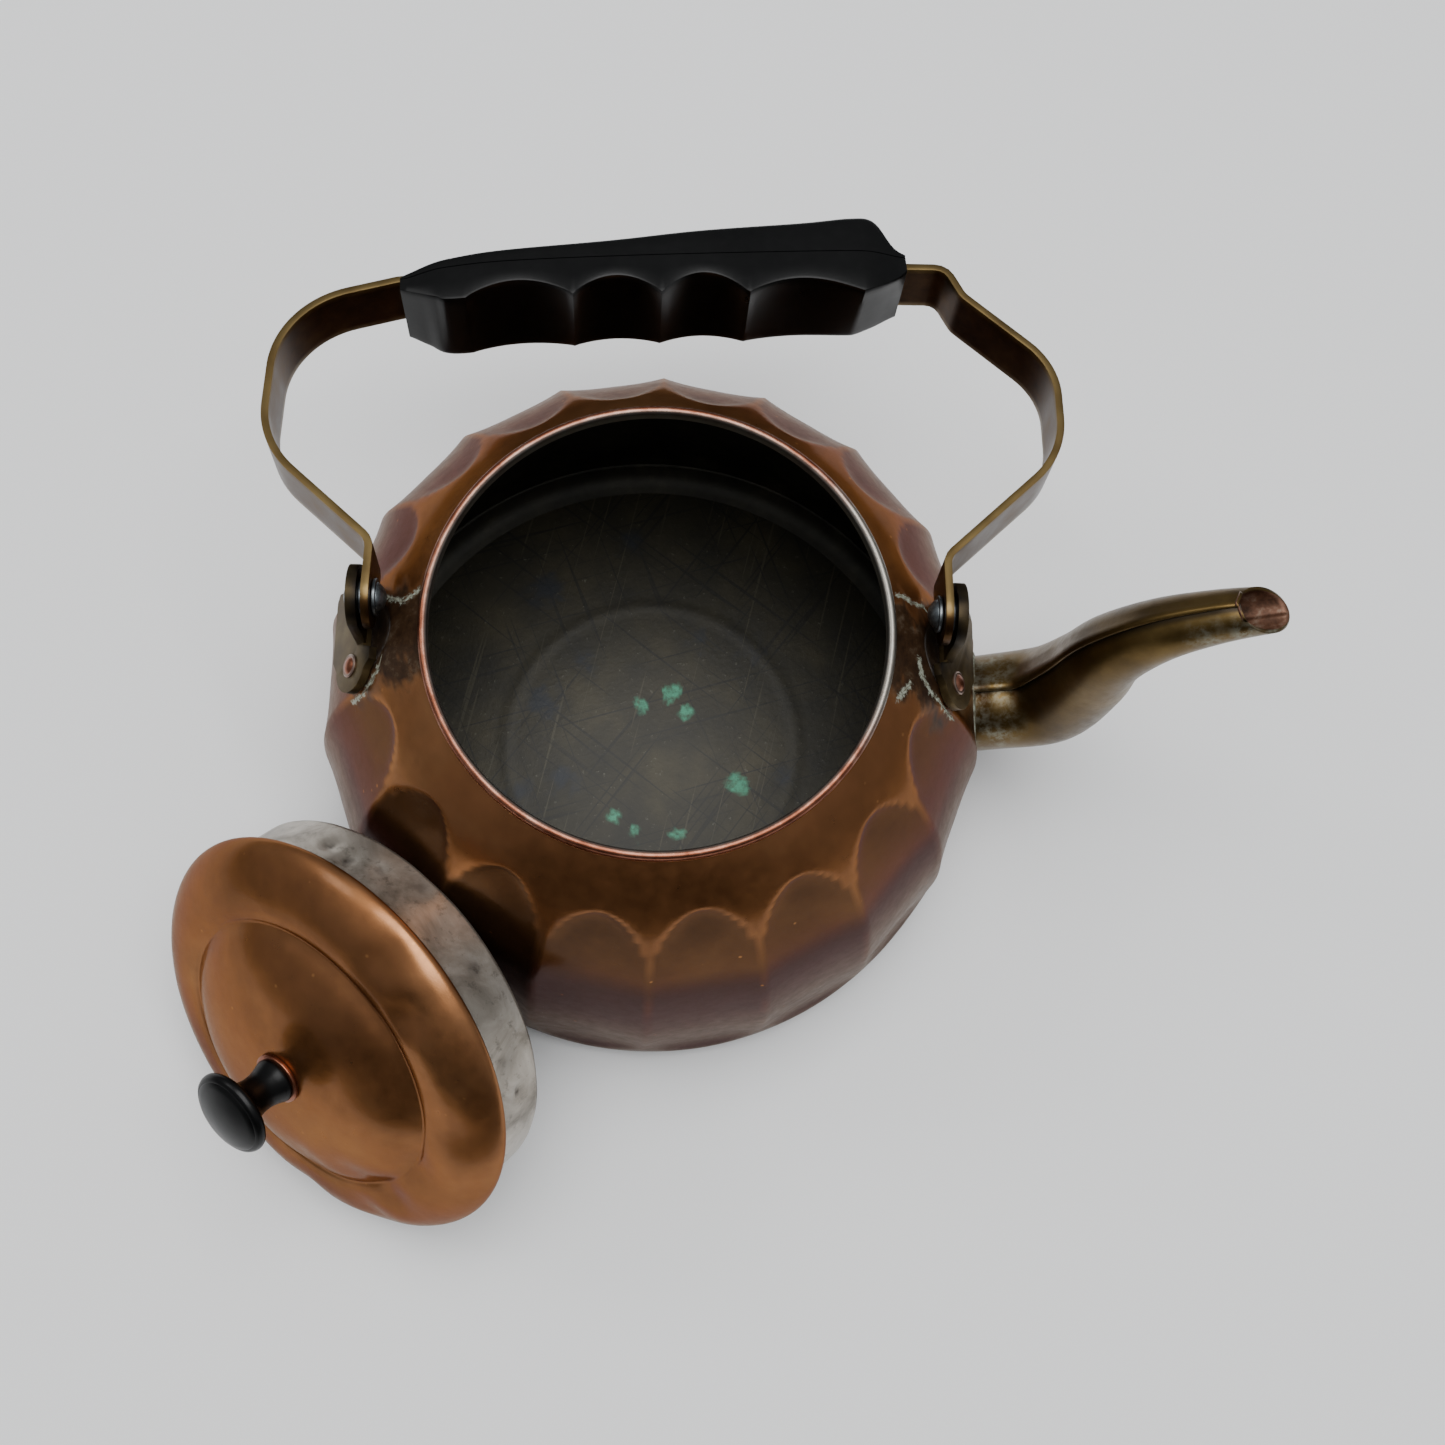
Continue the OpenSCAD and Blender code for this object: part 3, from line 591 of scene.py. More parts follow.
spout_mid = smooth_run([Vector(p) for p in spout_line], 9)
spout_rad = smooth_run(spout_radii, 9)
spout_places = []
steps_on = [(after - before).normalized() for before, after in zip(spout_mid, spout_mid[1:])]
steps_on.append(steps_on[-1])
for i, (mid, radius) in enumerate(zip(spout_mid, spout_rad)):
    reach = min(7, i)
    way = sum(steps_on[i - reach:i + reach + 1], Vector((0, 0))).normalized()
    slope = -beak * max(0, (i - len(spout_mid) + 1 + beak_rings) / beak_rings) ** 2
    ahead, up = Vector((way.x, 0, way.y)), Vector((-way.y, 0, way.x))
    local = Matrix((( 0, up.x * radius + slope * ahead.x, ahead.x, mid.x),
                    (radius, 0, 0, 0),
                    (0, up.z * radius + slope * ahead.z, ahead.z, mid.y),
                    (0, 0, 0, 1)))
    spout_places.append(spout_turn @ local)

# Pressed brass left unpolished: khaki brown and half glossy, with pale salts at the joints
patina_brass = new_finish("brown patina on brass")
where, _, khaki = mottled(patina_brass, 22.2, 5, 0.6,
                          [(0.3, "#403015"), (0.52, "#594520"), (0.72, "#705a30")])
fine = add_node(patina_brass, "ShaderNodeTexNoise",
                {"Vector": where, "Scale": per_metre(2.38), "Detail": 5, "Roughness": 0.7})
salt = add_node(patina_brass, "ShaderNodeAttribute", attribute_name="salt")
salt_break = add_node(patina_brass, "ShaderNodeMapRange",
                      {"Value": (fine, "Fac"), "From Min": 0.42, "From Max": 0.62,
                       "To Min": 0.0, "To Max": 1.0})
salt_cover = add_node(patina_brass, "ShaderNodeMath",
                      {0: (salt, "Fac"), 1: (salt_break, "Result")}, operation="MULTIPLY")
# Painted shade: a dark line in the groove under the far half's raised edge
shaded = stained(patina_brass, "groove", khaki, "#1b140a")
salty = add_node(patina_brass, "ShaderNodeMix",
                 {0: (salt_cover, 0), 6: shaded, 7: "#827e6c"}, data_type="RGBA")
rough = add_node(patina_brass, "ShaderNodeMapRange",
                 {"Value": (fine, "Fac"), "From Min": 0.3, "From Max": 0.7,
                  "To Min": 0.3, "To Max": 0.46})
skin = add_node(patina_brass, "ShaderNodeBump",
                {"Height": (fine, "Fac"), "Strength": 0.12, "Distance": 0.0003})
close_finish(patina_brass, Base_Color=(salty, 2), Metallic=0.9, Roughness=(rough, "Result"),
             Normal=(skin, "Normal"), Coat_Weight=0.15, Coat_Roughness=0.35)
# Brass that steam has robbed of its zinc: matt red-brown inside the spout
red_inside = new_finish("reddish bare inside of the spout")
_, _, red = mottled(red_inside, 3.33, 5, 0.65,
                    [(0.32, "#3a271c"), (0.55, "#6b4a38"), (0.75, "#93806f")])
close_finish(red_inside, Base_Color=red, Metallic=0.6, Roughness=0.5)


def spout_salt(p):
    """Pale crust round the root and along the top seam near the mouth."""
    root = between(16, 4, (into_root @ p).z) * between(-8, 4, p.z - root_z)
    tip = between(118, 126, p.x) * between(4.5, 0.5, abs(p.y + 2.2)) * between(112, 116, p.z)
    return max(root, tip) * (0.75 + noise.noise(p * 0.25))


def along_seam(p):
    """Painted shade in the groove where the near half runs under the far half's edge."""
    q = spout_turn.inverted() @ p
    i = min(range(len(spout_mid)), key=lambda k: (spout_mid[k] - Vector((q.x, q.z))).length)
    up = Vector((-spout_places[i].col[2].z, spout_places[i].col[2].x))
    return between(2.2, 0.9, abs(q.y)) if (Vector((q.x, q.z)) - spout_mid[i]).dot(up) > 0 else 0


for name, side, lap, node in (("spout_near", -1, 0.0, "spout_front_half"),
                              ("spout_far", 1, 0.1, "spout_back_half")):
    arc = [math.radians(-90 + 184 * i / 24) for i in range(25)]
    section = [((1 + lap * between(70, 90, math.degrees(a))) * side * math.cos(a),
                (1 + lap * between(70, 90, math.degrees(a))) * math.sin(a)) for a in arc]
    half = swept(section, spout_places)
    centres = [place.to_translation() for place in spout_places]
    face_outwards(half, lambda p: p - min(centres, key=lambda c: (c - p).length_squared))
    piece = make_piece(name, half, [patina_brass, red_inside], "kettle", [node])
    mark(piece, "salt", spout_salt)
    mark(piece, "groove", lambda p: along_seam(p) if side < 0 else 0)
    give_wall(piece, spout_sheet)

# ---- Solder and its crusts ----
# Soft solder run round each joint by hand: lumpy, grey-white, with green where
# it has corroded. It joins the spout, lugs and collar to the copper.

# Soft solder, laid with an iron and corroded: matt pale crumbs against the dark copper
crusty_solder = new_finish("corroded soft solder")
_, lumps, crust_colour = mottled(crusty_solder, 1.92, 5, 0.7,
                                 [(0.3, "#3d352a"), (0.48, "#6f6c5c"),
                                  (0.6, "#9aa294"), (0.75, "#c9cabb")])
crust_skin = add_node(crusty_solder, "ShaderNodeBump",
                      {"Height": lumps, "Strength": 0.6, "Distance": 0.0005})
close_finish(crusty_solder, Base_Color=crust_colour, Metallic=0.2, Roughness=0.7,
             Normal=(crust_skin, "Normal"))


def solder_run(path, size, outwards, loop=False, flat=0.5):
    """A lumpy bead laid along a path, flattened against the sheet under it."""
    places = []
    count = len(path)
    for i, point in enumerate(path):
        before = path[i - 1] if loop or i else path[0]
        after = path[(i + 1) % count] if loop or i < count - 1 else path[-1]
        ahead = (after - before).normalized()
        out = outwards(point)
        out = (out - ahead * out.dot(ahead)).normalized()
        side = out.cross(ahead)
        width = size * (1 + 0.7 * noise.noise(point * 0.55)) + 0.05
        if not loop:
            width *= math.sin(math.pi * (i + 0.4) / count) ** 0.5
        columns = (side * width, out * width * flat, ahead, point)
        places.append(Matrix([[c[row] for c in columns] for row in range(3)] + [[0, 0, 0, 1]]))
    circle = [(math.cos(2 * math.pi * k / 10), math.sin(2 * math.pi * k / 10)) for k in range(10)]
    bead = swept(circle, places + places[:1] if loop else places, loop=True)
    bmesh.ops.remove_doubles(bead, verts=bead.verts, dist=0.001)
    ends = [e for e in bead.edges if e.is_boundary]
    if ends:
        bmesh.ops.holes_fill(bead, edges=ends, sides=0)
    bmesh.ops.recalc_face_normals(bead, faces=bead.faces)
    return bead


def crossing(low, high, inside):
    """Closes in on where inside() stops being true on the way from low to high."""
    while high - low > 1e-5:
        mid = (low + high) / 2
        low, high = (mid, high) if inside(mid) else (low, mid)
    return low


def on_body(x, y):
    """The point of the body's surface above (x, y), on the shoulder."""
    angle, reach = math.atan2(y, x), math.hypot(x, y)
    return Vector((x, y, crossing(60, 106.9, lambda z: body_radius(angle, z) > reach)))


def from_axis(p):
    """Outwards and a little up, as the shoulder faces."""
    return Vector((p.x, p.y, 40)).normalized()


def joined(shapes):
    """Puts several shapes into one, as separate shells of the same piece."""
    whole = bmesh.new()
    for shape in shapes:
        part = bpy.data.meshes.new("part")
        shape.to_mesh(part)
        shape.free()
        whole.from_mesh(part)
        bpy.data.meshes.remove(part)
    return whole


def beside_root(turn, out):
    """A point just outside the spout's root, at a turn round it and a distance out."""
    reach = root_r + 0.3
    return root_place @ Vector((reach * math.cos(turn), reach * math.sin(turn), out))


def in_body(p):
    return math.hypot(p.x, p.y) < body_radius(math.atan2(p.y, p.x), p.z)


turns = [2 * math.pi * i / 72 for i in range(72)]
root_path = [beside_root(turn, crossing(-14, 14, lambda out: in_body(beside_root(turn, out))))
             for turn in turns]
make_piece("spout_solder", solder_run(root_path, 0.9, from_axis, loop=True), [crusty_solder],
           "kettle")


def run_on_body(points):
    """A smooth line over the shoulder through points of (x, y)."""
    return [on_body(p.x, p.y) for p in smooth_run([Vector(p) for p in points], 8)]


left_runs = [[(-66, 6.5), (-63.6, 7.8), (-60.2, 5.7), (-57.7, 6.5), (-56, 7.6)],
             [(-70.3, -14.2), (-67.4, -12), (-65.4, -9), (-64.5, -6)]]
right_runs = [[(56, 10.2), (57.8, 10.4), (60.2, 9.5), (63.4, 9.4), (65, 8)],
              [(61.7, -4.5), (62.6, -8), (64.9, -10.8), (68.7, -13), (73.2, -14.6)],
              [(57.4, -13.2), (58.6, -12), (59.4, -11)]]
for name, runs, size in (("lug_solder_left", left_runs, 0.22),
                         ("lug_solder_right", right_runs, 0.28)):
    beads = [solder_run(run_on_body(run), size, from_axis) for run in runs]
    make_piece(name, joined(beads), [crusty_solder], "kettle")

# ---- Lugs, rivets and hinge pins ----
# Each lug is bent from brass plate, with its foot riveted and soldered to the
# shoulder. A steel pin with two washers goes through its ear and the strap's eye.

# Rolled brass plate, evenly tarnished: greyer than the spout, near black round the pin
dull_brass = new_finish("dull brass plate")
_, film, tan = mottled(dull_brass, 6.67, 5, 0.6,
                       [(0.3, "#453822"), (0.55, "#5c4d31"), (0.75, "#6f6041")])
grimy = stained(dull_brass, "grime", tan, "#17120d")
film_skin = add_node(dull_brass, "ShaderNodeBump",
                     {"Height": film, "Strength": 0.15, "Distance": 0.0004})
close_finish(dull_brass, Base_Color=grimy, Metallic=0.85, Roughness=0.45,
             Normal=(film_skin, "Normal"))
# Headed steel rivets and stamped washers: small cool glints at the hinges
dull_steel = new_finish("dull steel")
_, _, grey = mottled(dull_steel, 2.5, 4, 0.6,
                     [(0.32, "#3c3f42"), (0.6, "#74797c"), (0.8, "#a0a5a8")])
close_finish(dull_steel, Base_Color=grey, Metallic=0.95, Roughness=0.38)


def eased_copy(node, name, width, finish, body="kettle"):
    """A copy of a made part with its corners rounded over, as handling leaves them."""
    shape = bmesh.new()
    shape.from_mesh(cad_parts[node].data)
    bmesh.ops.scale(shape, vec=(1 / MM, 1 / MM, 1 / MM), verts=shape.verts)
    bmesh.ops.remove_doubles(shape, verts=shape.verts, dist=0.003)
    bmesh.ops.dissolve_limit(shape, angle_limit=math.radians(0.5), verts=shape.verts,
                             edges=shape.edges)
    corners = [e for e in shape.edges
               if e.is_manifold and e.calc_face_angle() > math.radians(35)]
    bmesh.ops.bevel(shape, geom=corners, offset=width, offset_type="OFFSET", affect="EDGES",
                    segments=3, profile=0.5, material=-1, clamp_overlap=True)
    return make_piece(name, shape, [finish], body, [node], sharp=50)


foot_x, foot_y, foot_z, foot_lean = 73, -7, 92.2, math.radians(51)
for side, name in ((-1, "left"), (1, "right")):
    lug = eased_copy(f"lug_{name}", f"lug_plate_{name}", 0.3, dull_brass)
    mark(lug, "grime", lambda p: between(96, 99, p.z) * 0.9
         * between(74, 70, abs(p.x)) + 0.3 * noise.noise(p * 0.4))
    face = (Matrix.Translation((side * foot_x, foot_y, foot_z))
            @ Matrix.Rotation(side * foot_lean, 4, "Y"))
    rivet = turned([(0, -3.9), (3.2, -3.9), (3.3, -3.1), (1.8, -2.9), (1.8, -0.1), (2.8, -0.1),
                    (2.85, 0.3), (2.5, 0.5), (2.1, 0.42), (1.95, 0.5), (1.5, 0.85), (0.8, 1.02),
                    (0, 1.08)], 48)
    bmesh.ops.transform(rivet, matrix=face, verts=rivet.verts)
    rivet = make_piece(f"rivet_{name}", rivet, [pink_copper], "kettle",
                       [f"lug_rivet_{name}"])
    mark(rivet, "tin", lambda p: between(1.9, 2.2, (face.inverted() @ p).to_2d().length) * 0.6)
    eased_copy(f"hinge_pin_{name}", f"pin_{name}", 0.2, dull_steel)
    eased_copy(f"pin_washers_{name}", f"washers_{name}", 0.15, dull_steel)

# ---- Bail strap ----
# Half-hard brass strip, bent cold to a hoop that has gone crooked with use. The
# faces are brown, and the edges are rubbed bright.

pin_y, pin_z, fold_back = 5, 107.5, math.radians(-97)
bail_place = Matrix.Translation((0, pin_y, pin_z)) @ Matrix.Rotation(fold_back, 4, "X")
strap_w, strap_t, eye_x = 14.5, 1.8, 67
grip_tilt = math.radians(4.6)
grip_mid = Vector((-2.8, 89.5))


def on_grip_line(x):
    """A point of the strap's straight part, which tilts with the grip."""
    return (x, grip_mid.y + math.tan(grip_tilt) * (x - grip_mid.x))


# Each bend: x, height above the pins and radius
strap_corners = [(-eye_x, 0, 0), (-eye_x, 11.5, 5), (-94.6, 36.5, 24), (-94.6, 75, 24),
                 (*on_grip_line(-66), 12), (*on_grip_line(61), 14), (70.6, 94.9, 4.5),
                 (74.6, 86.6, 6), (96.8, 66.5, 20), (96.8, 41, 24), (eye_x, 11.8, 5),
                 (eye_x, 0, 0)]


def rounded_line(corners, step):
    """A line through corners of (x, z, bend radius), with a point every step or so."""
    points = []
    spots = [Vector(c[:2]) for c in corners]
    for i, (corner, (_, _, radius)) in enumerate(zip(spots, corners)):
        if i in (0, len(corners) - 1):
            points.append(corner)
            continue
        back, on = (spots[i - 1] - corner).normalized(), (spots[i + 1] - corner).normalized()
        half = back.angle(on) / 2
        centre = corner + (back + on).normalized() * radius / math.sin(half)
        start, end = corner + back * radius / math.tan(half), corner + on * radius / math.tan(half)
        first, last = start - centre, end - centre
        sweep = math.atan2(first.x * last.y - first.y * last.x, first.dot(last))
        steps = max(3, round(abs(sweep) * radius / step))
        for k in range(steps + 1):
            points.append(centre + Matrix.Rotation(sweep * k / steps, 2) @ first)
    return points


line = rounded_line(strap_corners, 1.6)
filled = []
for a, b in zip(line, line[1:]):
    cuts = max(1, round((b - a).length / 3))
    filled += [a.lerp(b, k / cuts) for k in range(cuts)]
filled.append(line[-1])
eye_tail = [strap_w / 2 * math.sin(math.pi / 2 * k / 8) for k in range(8, 0, -1)]
filled = ([filled[0] - Vector((0, d)) for d in eye_tail] + filled
          + [filled[-1] - Vector((0, d)) for d in reversed(eye_tail)])
strap_places = []
for i, point in enumerate(filled):
    width = strap_w / 2
    if point.y < 0:
        width = max(0.4, math.sqrt(max(0, width * width - point.y ** 2)))
    strap_places.append(bail_place @ Matrix(((0, 1, 0, point.x), (width, 0, 0, 0),
                                             (0, 0, 1, point.y), (0, 0, 0, 1))))
strip = swept([(-1 + k / 4, 0) for k in range(9)], strap_places)
middle = bail_place @ Vector((0, 0, 45))
face_outwards(strip, lambda p: p - middle)

# Rolled brass strip, browned by hands: dark umber faces between rubbed, lighter edges
old_brass_strip = new_finish("old brass strip")
_, wear, umber = mottled(old_brass_strip, 11.1, 5, 0.65,
                         [(0.3, "#2c1b0b"), (0.52, "#432c14"), (0.72, "#584021")])
bright = stained(old_brass_strip, "rubbed_edge", umber, "#73603c")
satin = add_node(old_brass_strip, "ShaderNodeMapRange",
                 {"Value": wear, "From Min": 0.3, "From Max": 0.7,
                  "To Min": 0.3, "To Max": 0.44})
strip_skin = add_node(old_brass_strip, "ShaderNodeBump",
                      {"Height": wear, "Strength": 0.1, "Distance": 0.0005})
close_finish(old_brass_strip, Base_Color=bright, Metallic=0.9,
             Roughness=(satin, "Result"), Normal=(strip_skin, "Normal"))
strap_piece = make_piece("handle_strap", strip, [old_brass_strip], "bail",
                         ["bail_strap"])
out_of_bail = bail_place.inverted()
mark(strap_piece, "rubbed_edge",
     lambda p: between(5.9, 7.1, abs((out_of_bail @ p).y)) * (0.85 + 0.4 * noise.noise(p * 0.2)))
wall = strap_piece.modifiers.new("strip", "SOLIDIFY")
wall.thickness = strap_t * MM
wall.offset = 0
ease = strap_piece.modifiers.new("rolled edges", "BEVEL")
ease.width = 0.35 * MM
ease.segments = 2
ease.limit_method = "ANGLE"
ease.angle_limit = math.radians(50)

# ---- Grip ----
# Two halves of black phenolic, moulded hot in a steel die and screwed together
# over the strap. Four fingers fit under it, and a hump stops the hand sliding.

grip_place = (bail_place @ Matrix.Translation((grip_mid.x, 0, grip_mid.y))
              @ Matrix.Rotation(-grip_tilt, 4, "Y"))
grip_half_l, grip_half_w, grip_gap = 63, 12, 0.12


def curve(*rows):
    """A smooth curve through points of (x, value)."""
    return smooth_run([Vector(row) for row in rows], 8)


def read(line, x):
    """Reads the value at x off a curve."""
    for a, b in zip(line, line[1:]):
        if x <= b.x:
            return a.y + (b.y - a.y) * max(0, min(1, (x - a.x) / (b.x - a.x)))
    return line[-1].y


seam = curve((-63, -2.2), (-52, -0.6), (-36, 1.0), (0, 1.8), (45, 1.7), (63, 0.8))
palm_side = curve((-63, 0.3), (-60, 1.4), (-45, 2.9), (-13, 4.6), (12, 7), (37, 8.6), (50, 10),
                  (56, 9.4), (60, 3), (63, 0.8))
palm_crown = curve((-63, 0.4), (-58, 1.5), (-45, 3), (0, 3.6), (54, 3.2), (60, 1.6), (63, 0.4))
near_base = curve((-63, 3), (-59, 5.4), (-54, 8.2), (-49, 9.8), (-21, 11), (1, 11.6), (22.4, 12.4),
                  (46, 13), (54, 11), (60, 7), (63, 4))
far_base = curve((-63, 2.6), (-58, 5.6), (-50, 8.8), (-21, 9.2), (1, 9.5), (22.4, 9.7), (46, 9.2),
                 (56, 6.6), (63, 3.4))
# Each groove: where it starts and ends, and its depth on the upper and lower side
grooves = ((-47, -21, 4.6, 1.6), (-21, 1, 5.6, 1.9), (1, 22.4, 6.3, 2.2), (22.4, 51, 4.8, 1.5))


def finger_depth(x, share):
    """Depth of the finger half; share is 0 on the lower side and 1 on the upper."""
    near, far = read(near_base, x), read(far_base, x)
    for start, end, deep, shallow in grooves:
        if start < x < end:
            arch = math.sin(math.pi * (x - start) / (end - start)) ** 0.8
            near, far = near - deep * arch, far - shallow * arch
    return far + (near - far) * share


def half_width(x):
    """Half the grip's width, which narrows at its ends."""
    return grip_half_w - 2.2 * between(50, grip_half_l, abs(x)) ** 1.5


# Black phenolic, hot-moulded and polished by hands: near black, with soft wide highlights.
# The specks of its filler are drawn coarser than they are, to show
bakelite = new_finish("black phenolic moulding")
where, filler, black = mottled(bakelite, 2.63, 4, 0.5,
                               [(0.35, "#020202"), (0.6, "#040404"), (0.78, "#080808")])
handled = add_node(bakelite, "ShaderNodeTexNoise",
                   {"Vector": where, "Scale": per_metre(28.6), "Detail": 5,
                    "Roughness": 0.65})
polish = add_node(bakelite, "ShaderNodeMapRange",
                  {"Value": (handled, "Fac"), "From Min": 0.35, "From Max": 0.7,
                   "To Min": 0.26, "To Max": 0.4})
pores = add_node(bakelite, "ShaderNodeBump",
                 {"Height": filler, "Strength": 0.05, "Distance": 0.0002})
close_finish(bakelite, Base_Color=black, Roughness=(polish, "Result"),
             Specular_IOR_Level=0.2, Normal=(pores, "Normal"))

# The halves' cross-section: across, and how each point rises to the palm or the fingers
across = [-1, -1, -1, -0.985, -0.95, -0.87, -0.74, -0.58, -0.4, -0.2, 0]
rise = [0, 0.45, 0.85, 0.96, 1, 1, 1, 1, 1, 1, 1]
crown = [0, 0, 0, 0.05, 0.13, 0.3, 0.52, 0.72, 0.87, 0.97, 1]
under = [0, 0.45, 0.9, 0.965, 0.99, 1, 1, 1, 1, 1, 1]
stations = [-grip_half_l + 2 * grip_half_l * i / 150 for i in range(151)]
for name, node, sign in (("grip_palm_side", "grip_palm_half", 1),
                         ("grip_finger_side", "grip_finger_half", -1)):
    columns = [(y, i) for i, y in enumerate(across)] + [(-across[i], i) for i in range(9, -1, -1)]
    section = [(k, 0) for k in range(len(columns))]
    half = swept(section, [Matrix.Translation((0, 0, x)) for x in stations], loop=True)
    for point in half.verts:
        x, (y, i) = point.co.z, columns[round(point.co.x)]
        width = half_width(x) * y
        share = 0.5 - y / 2
        if sign > 0:
            height = rise[i] * read(palm_side, x) + crown[i] * read(palm_crown, x)
        else:
            height = under[i] * finger_depth(x, share)
        point.co = grip_place @ Vector((x, width, read(seam, x) + sign * (height + grip_gap)))
    bmesh.ops.holes_fill(half, edges=[e for e in half.edges if e.is_boundary], sides=0)
    bmesh.ops.recalc_face_normals(half, faces=half.faces)
    make_piece(name, half, [bakelite], "bail", [node], sharp=32)
for node in ("grip_screws", "grip_inserts"):
    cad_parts[node].material_slots[0].material = dull_steel

# ---- Lid dome ----
# Spun copper in two tiers with a rolled edge. It has been dropped, so the outer
# tier and the step have soft dents.

lid_turn, lid_tilt = math.radians(226), math.radians(34)
collar_r, collar_h = 51.6, 15
lid_out, lid_side, lid_sheet = 118.1, 7, 0.8
lid_up = collar_r * math.cos(lid_tilt) + collar_h * math.sin(lid_tilt) + 0.2
lid_place = (Matrix.Rotation(lid_turn, 4, "Z") @ Matrix.Translation((lid_out, lid_side, lid_up))
             @ Matrix.Rotation(math.pi / 2 - lid_tilt, 4, "Y"))
dome_outline = [(54.6, 0.3), (55.4, 1.2), (55.1, 2.8), (53.2, 5.2), (49.8, 7.8), (45.3, 9.7),
                (41, 10.4), (38.8, 10.3), (37.5, 10.0), (36.4, 10.6), (33, 13.1), (28, 15.5),
                (22, 17.2), (15, 18.2), (10, 18.7), (6.4, 18.8)]
dome_run = smooth_run([Vector(p) for p in dome_outline], 5) + [Vector((2.4, 18.8))]
dome = turned([(50.5, 0.0)] + [tuple(p) for p in dome_run], 200)
# Each dent: radius and angle on the lid, how wide it is and how deep
dents = ((49, 176, 5, 1.1), (45, 160, 5, 1.5), (38, 92, 8, 1.4), (42, 66, 6, 1.6),
         (47, 48, 6, 1.2), (31, 60, 6, 1.0), (29, 30, 6, 0.8), (28, 140, 10, 0.6),
         (50, 20, 6, 0.8), (48, 215, 9, 0.6), (46, 118, 9, 0.8))


def dent_depth(x, y):
    """How far knocks have pushed the dome in."""
    depth = 0.12 * noise.noise(Vector((x, y, 0)) * 0.07)
    for r, turn, width, deep in dents:
        way = math.radians(turn)
        off = math.dist((x, y), (r * math.cos(way), r * math.sin(way)))
        depth += deep * math.exp(-(off / width) ** 2)
    return depth


for point in dome.verts:
    if point.co.z > 1.5:
        point.co.z -= dent_depth(point.co.x, point.co.y) * between(1.5, 6, point.co.z)
dome.normal_update()
face_outwards(dome, lambda p: p + Vector((0, 0, 30)))
bmesh.ops.transform(dome, matrix=lid_place, verts=dome.verts)
dome_piece = make_piece("domed_lid", dome, [aged_copper, dark_tin], "lid",
                        ["lid_dome"], sharp=60)
# Painted shade: the dome darkens towards the floor it leans on, with patchy tarnish over it
mark(dome_piece, "tarnish", lambda p: 0.35 * between(60, 5, p.z) + 0.25 * noise.noise(p * 0.06))
out_of_lid = lid_place.inverted()


def lid_wear(p):
    """Rubbed copper along the lid's edge and its step."""
    local = out_of_lid @ p
    radius = math.hypot(local.x, local.y)
    edge = between(52.5, 55, radius)
    return (0.3 * edge + 0.2 * between(2.2, 0.4, abs(radius - 36))) * (0.8 + noise.noise(p * 0.15))


mark(dome_piece, "worn", lid_wear)
give_wall(dome_piece, lid_sheet)

# ---- Lid collar ----
# A strip of tinned copper, joined into a ring and soldered under the dome. It is
# soft, dimpled by the mouth, and wiped grey.

# Each dimple: height and angle on the collar, how wide it is and how deep
dimples = ((-7.5, 213, 2.6, 0.9), (-5.5, 205, 3.2, 0.8), (-8.5, 122, 2.4, 0.9),
           (-5, 134, 4.5, 0.5), (-9, 160, 5, 0.4), (-12, 185, 4, 0.4), (-8, 196, 2.5, 0.4),
           (-8, 20, 5, 0.5), (-7, 300, 5, 0.5))


def off_dimple(turn, z, dimple):
    """How far a place on the collar, at a turn in radians, is from a dimple's middle."""
    swing = (math.degrees(turn) - dimple[1] + 180) % 360 - 180
    return math.hypot(math.radians(swing) * collar_r, z - dimple[0])


collar = turned([(collar_r + 0.25 * between(2, 0, d), -d) for d in
                 [collar_h * i / 22 for i in range(23)]], 240)
for point in collar.verts:
    turn = math.atan2(point.co.y, point.co.x)
    push = 0.18 * noise.noise(Vector((math.cos(turn) * 5, math.sin(turn) * 5, point.co.z / 9)))
    for dimple in dimples:
        push += dimple[3] * math.exp(-(off_dimple(turn, point.co.z, dimple) / dimple[2]) ** 2)
    ratio = 1 - push / collar_r
    point.co.x, point.co.y = point.co.x * ratio, point.co.y * ratio
collar.normal_update()
face_outwards(collar, lambda p: Vector((p.x, p.y, 0)))
bmesh.ops.transform(collar, matrix=lid_place, verts=collar.verts)

# Hot-tinned copper wiped with a rag: pale silver with grey smudges, dark in the dimples
wiped_tin = new_finish("wiped tinning on copper")
where = (add_node(wiped_tin, "ShaderNodeTexCoord"), "Object")
cloud = add_node(wiped_tin, "ShaderNodeTexNoise",
                 {"Vector": where, "Scale": per_metre(14.3), "Detail": 5, "Roughness": 0.6,
                  "Distortion": 0.6})
tin_shade = add_node(wiped_tin, "ShaderNodeValToRGB", {"Fac": (cloud, "Fac")},
                     stops=[(0.28, "#6a6358"), (0.5, "#a39b90"), (0.72, "#c6bfb5")])
wipe = add_node(wiped_tin, "ShaderNodeTexNoise",
                {"Vector": where, "Scale": per_metre(2.94), "Detail": 4, "Roughness": 0.7})
smudge = add_node(wiped_tin, "ShaderNodeMapRange",
                  {"Value": (wipe, "Fac"), "From Min": 0.56, "From Max": 0.7,
                   "To Min": 0.0, "To Max": 0.5})
smudged = add_node(wiped_tin, "ShaderNodeMix",
                   {0: (smudge, "Result"), 6: (tin_shade, "Color"), 7: "#3f3931"},
                   data_type="RGBA")
dimple_darkened = stained(wiped_tin, "bruise", (smudged, 2), "#3a322b")
wipe_skin = add_node(wiped_tin, "ShaderNodeBump",
                     {"Height": (wipe, "Fac"), "Strength": 0.2, "Distance": 0.0004})
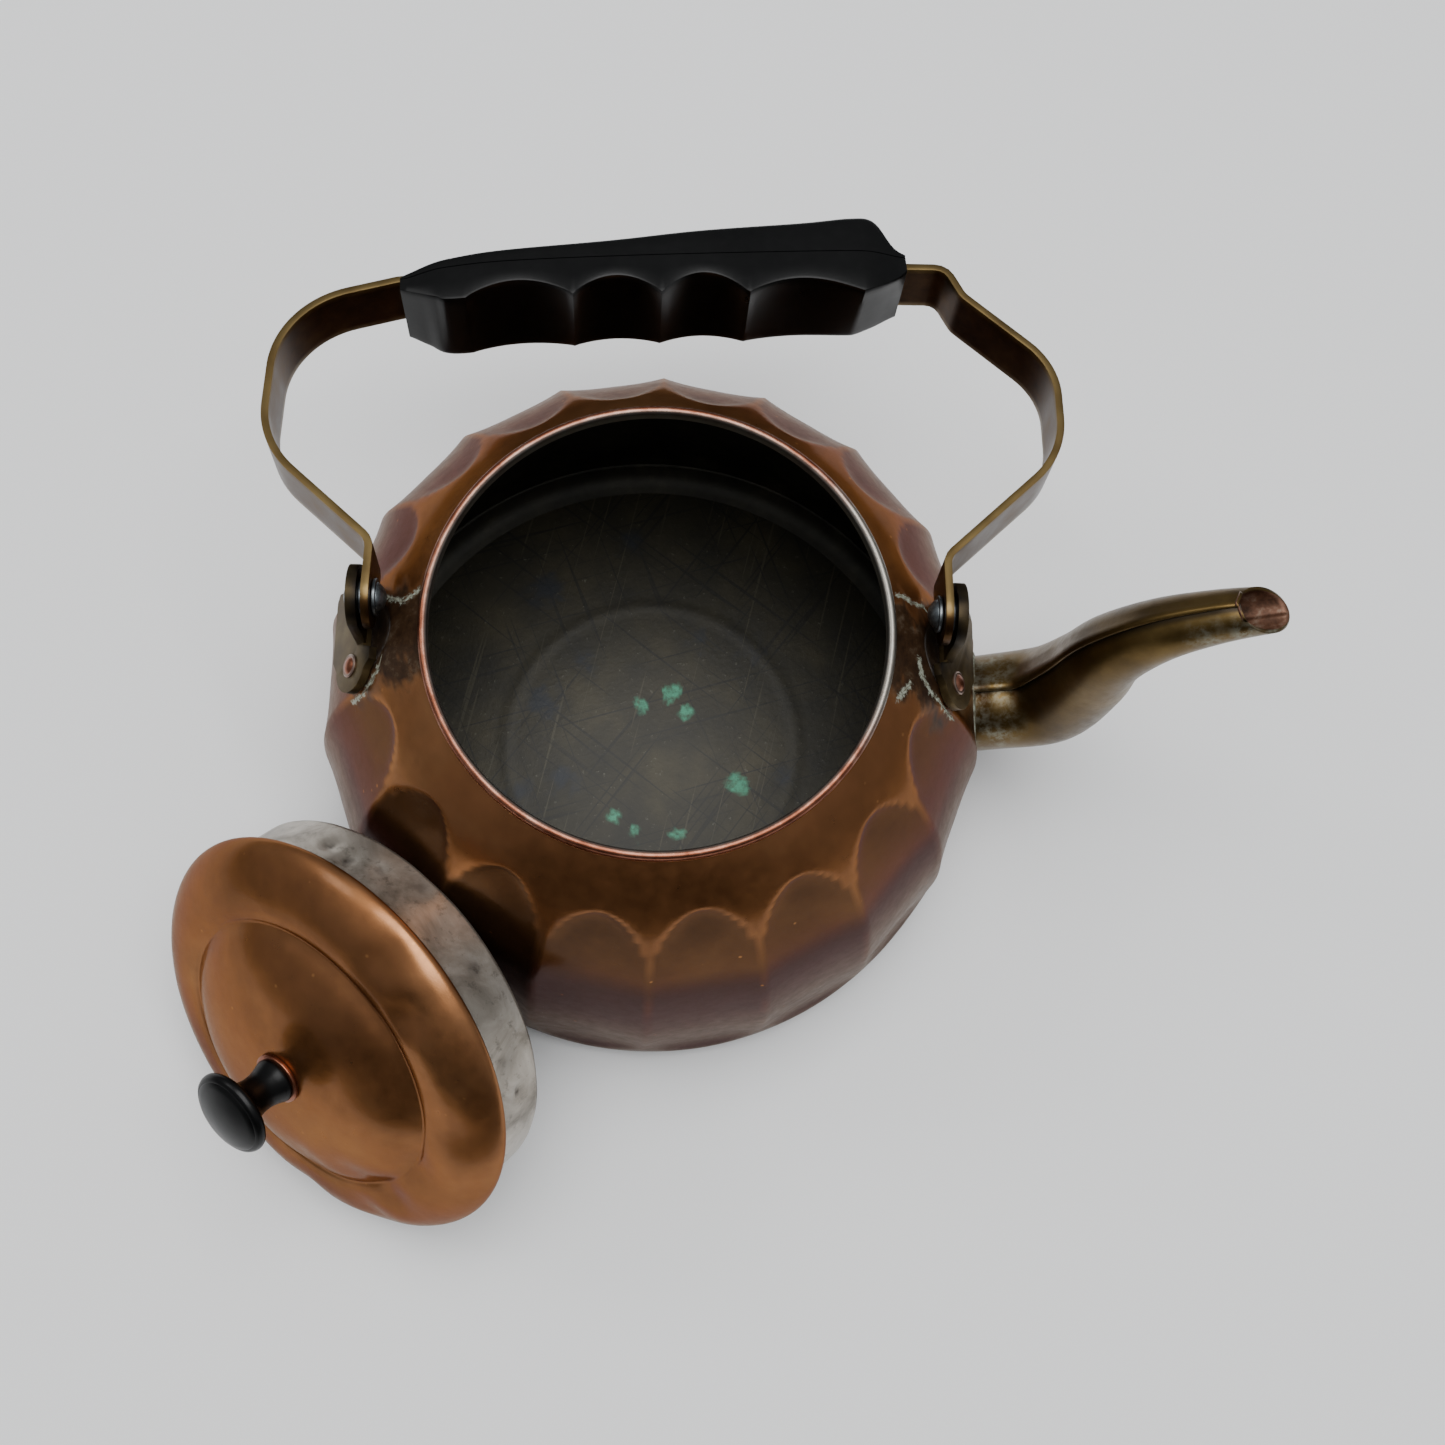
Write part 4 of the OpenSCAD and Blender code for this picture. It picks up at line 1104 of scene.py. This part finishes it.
close_finish(wiped_tin, Base_Color=dimple_darkened, Metallic=0.8, Roughness=0.36,
             Normal=(wipe_skin, "Normal"))
collar_piece = make_piece("lid_neck", collar, [wiped_tin], "lid",
                          ["lid_collar"])


def dimple_darkening(p):
    """Darker in the middle of each dimple, the more the deeper it is."""
    local = out_of_lid @ p
    turn, shake = math.atan2(local.y, local.x), 0.8 * noise.noise(p * 0.9)
    return max(d[3] * between(d[2] * 0.6, 0.2, off_dimple(turn, local.z, d) + shake)
               for d in dimples)


mark(collar_piece, "bruise", dimple_darkening)
give_wall(collar_piece, lid_sheet)
joint_r, joint_z = 52.3, -0.5
joint = [lid_place @ Vector((joint_r * math.cos(a), joint_r * math.sin(a), joint_z))
         for a in [2 * math.pi * i / 200 for i in range(200)]]
lid_centre = lid_place @ Vector((0, 0, joint_z))
make_piece("collar_solder", solder_run(joint, 0.55, lambda p: p - lid_centre, loop=True, flat=0.7),
           [crusty_solder], "lid")

# ---- Knob ----
# Turned and polished black phenolic on a thin copper ring, held from inside the
# lid by a screw and washer.

knob_base = 20
knob_outline = [(0, 0), (5.6, 0), (5.75, 0.7), (5.1, 2.6), (4.6, 5), (4.7, 7.5), (5.4, 9.6),
                (7.3, 11.3), (9.5, 12.2), (10.5, 12.9), (10.6, 13.8), (10.2, 14.6)]
knob_cap = [(9.6, 15.0), (9.3, 15.05), (9.0, 15.35), (7.8, 15.7), (5, 16.4), (2.4, 16.75),
            (0, 16.85)]
foot_run = smooth_run([Vector(p) for p in knob_outline[1:]], 5)
knob = turned([(0, 0)] + [tuple(p) for p in foot_run] + knob_cap, 96)
bmesh.ops.transform(knob, matrix=lid_place @ Matrix.Translation((0, 0, knob_base)),
                    verts=knob.verts)
make_piece("lid_knob", knob, [bakelite], "lid", ["knob"], sharp=35)
eased_copy("knob_foot_ring", "knob_ring", 0.4, pink_copper, "lid")
eased_copy("knob_screw", "lid_screw", 0.2, dull_steel, "lid")
eased_copy("knob_screw_washer", "lid_screw_washer", 0.15, dull_steel, "lid")
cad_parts["knob_insert"].material_slots[0].material = dull_brass
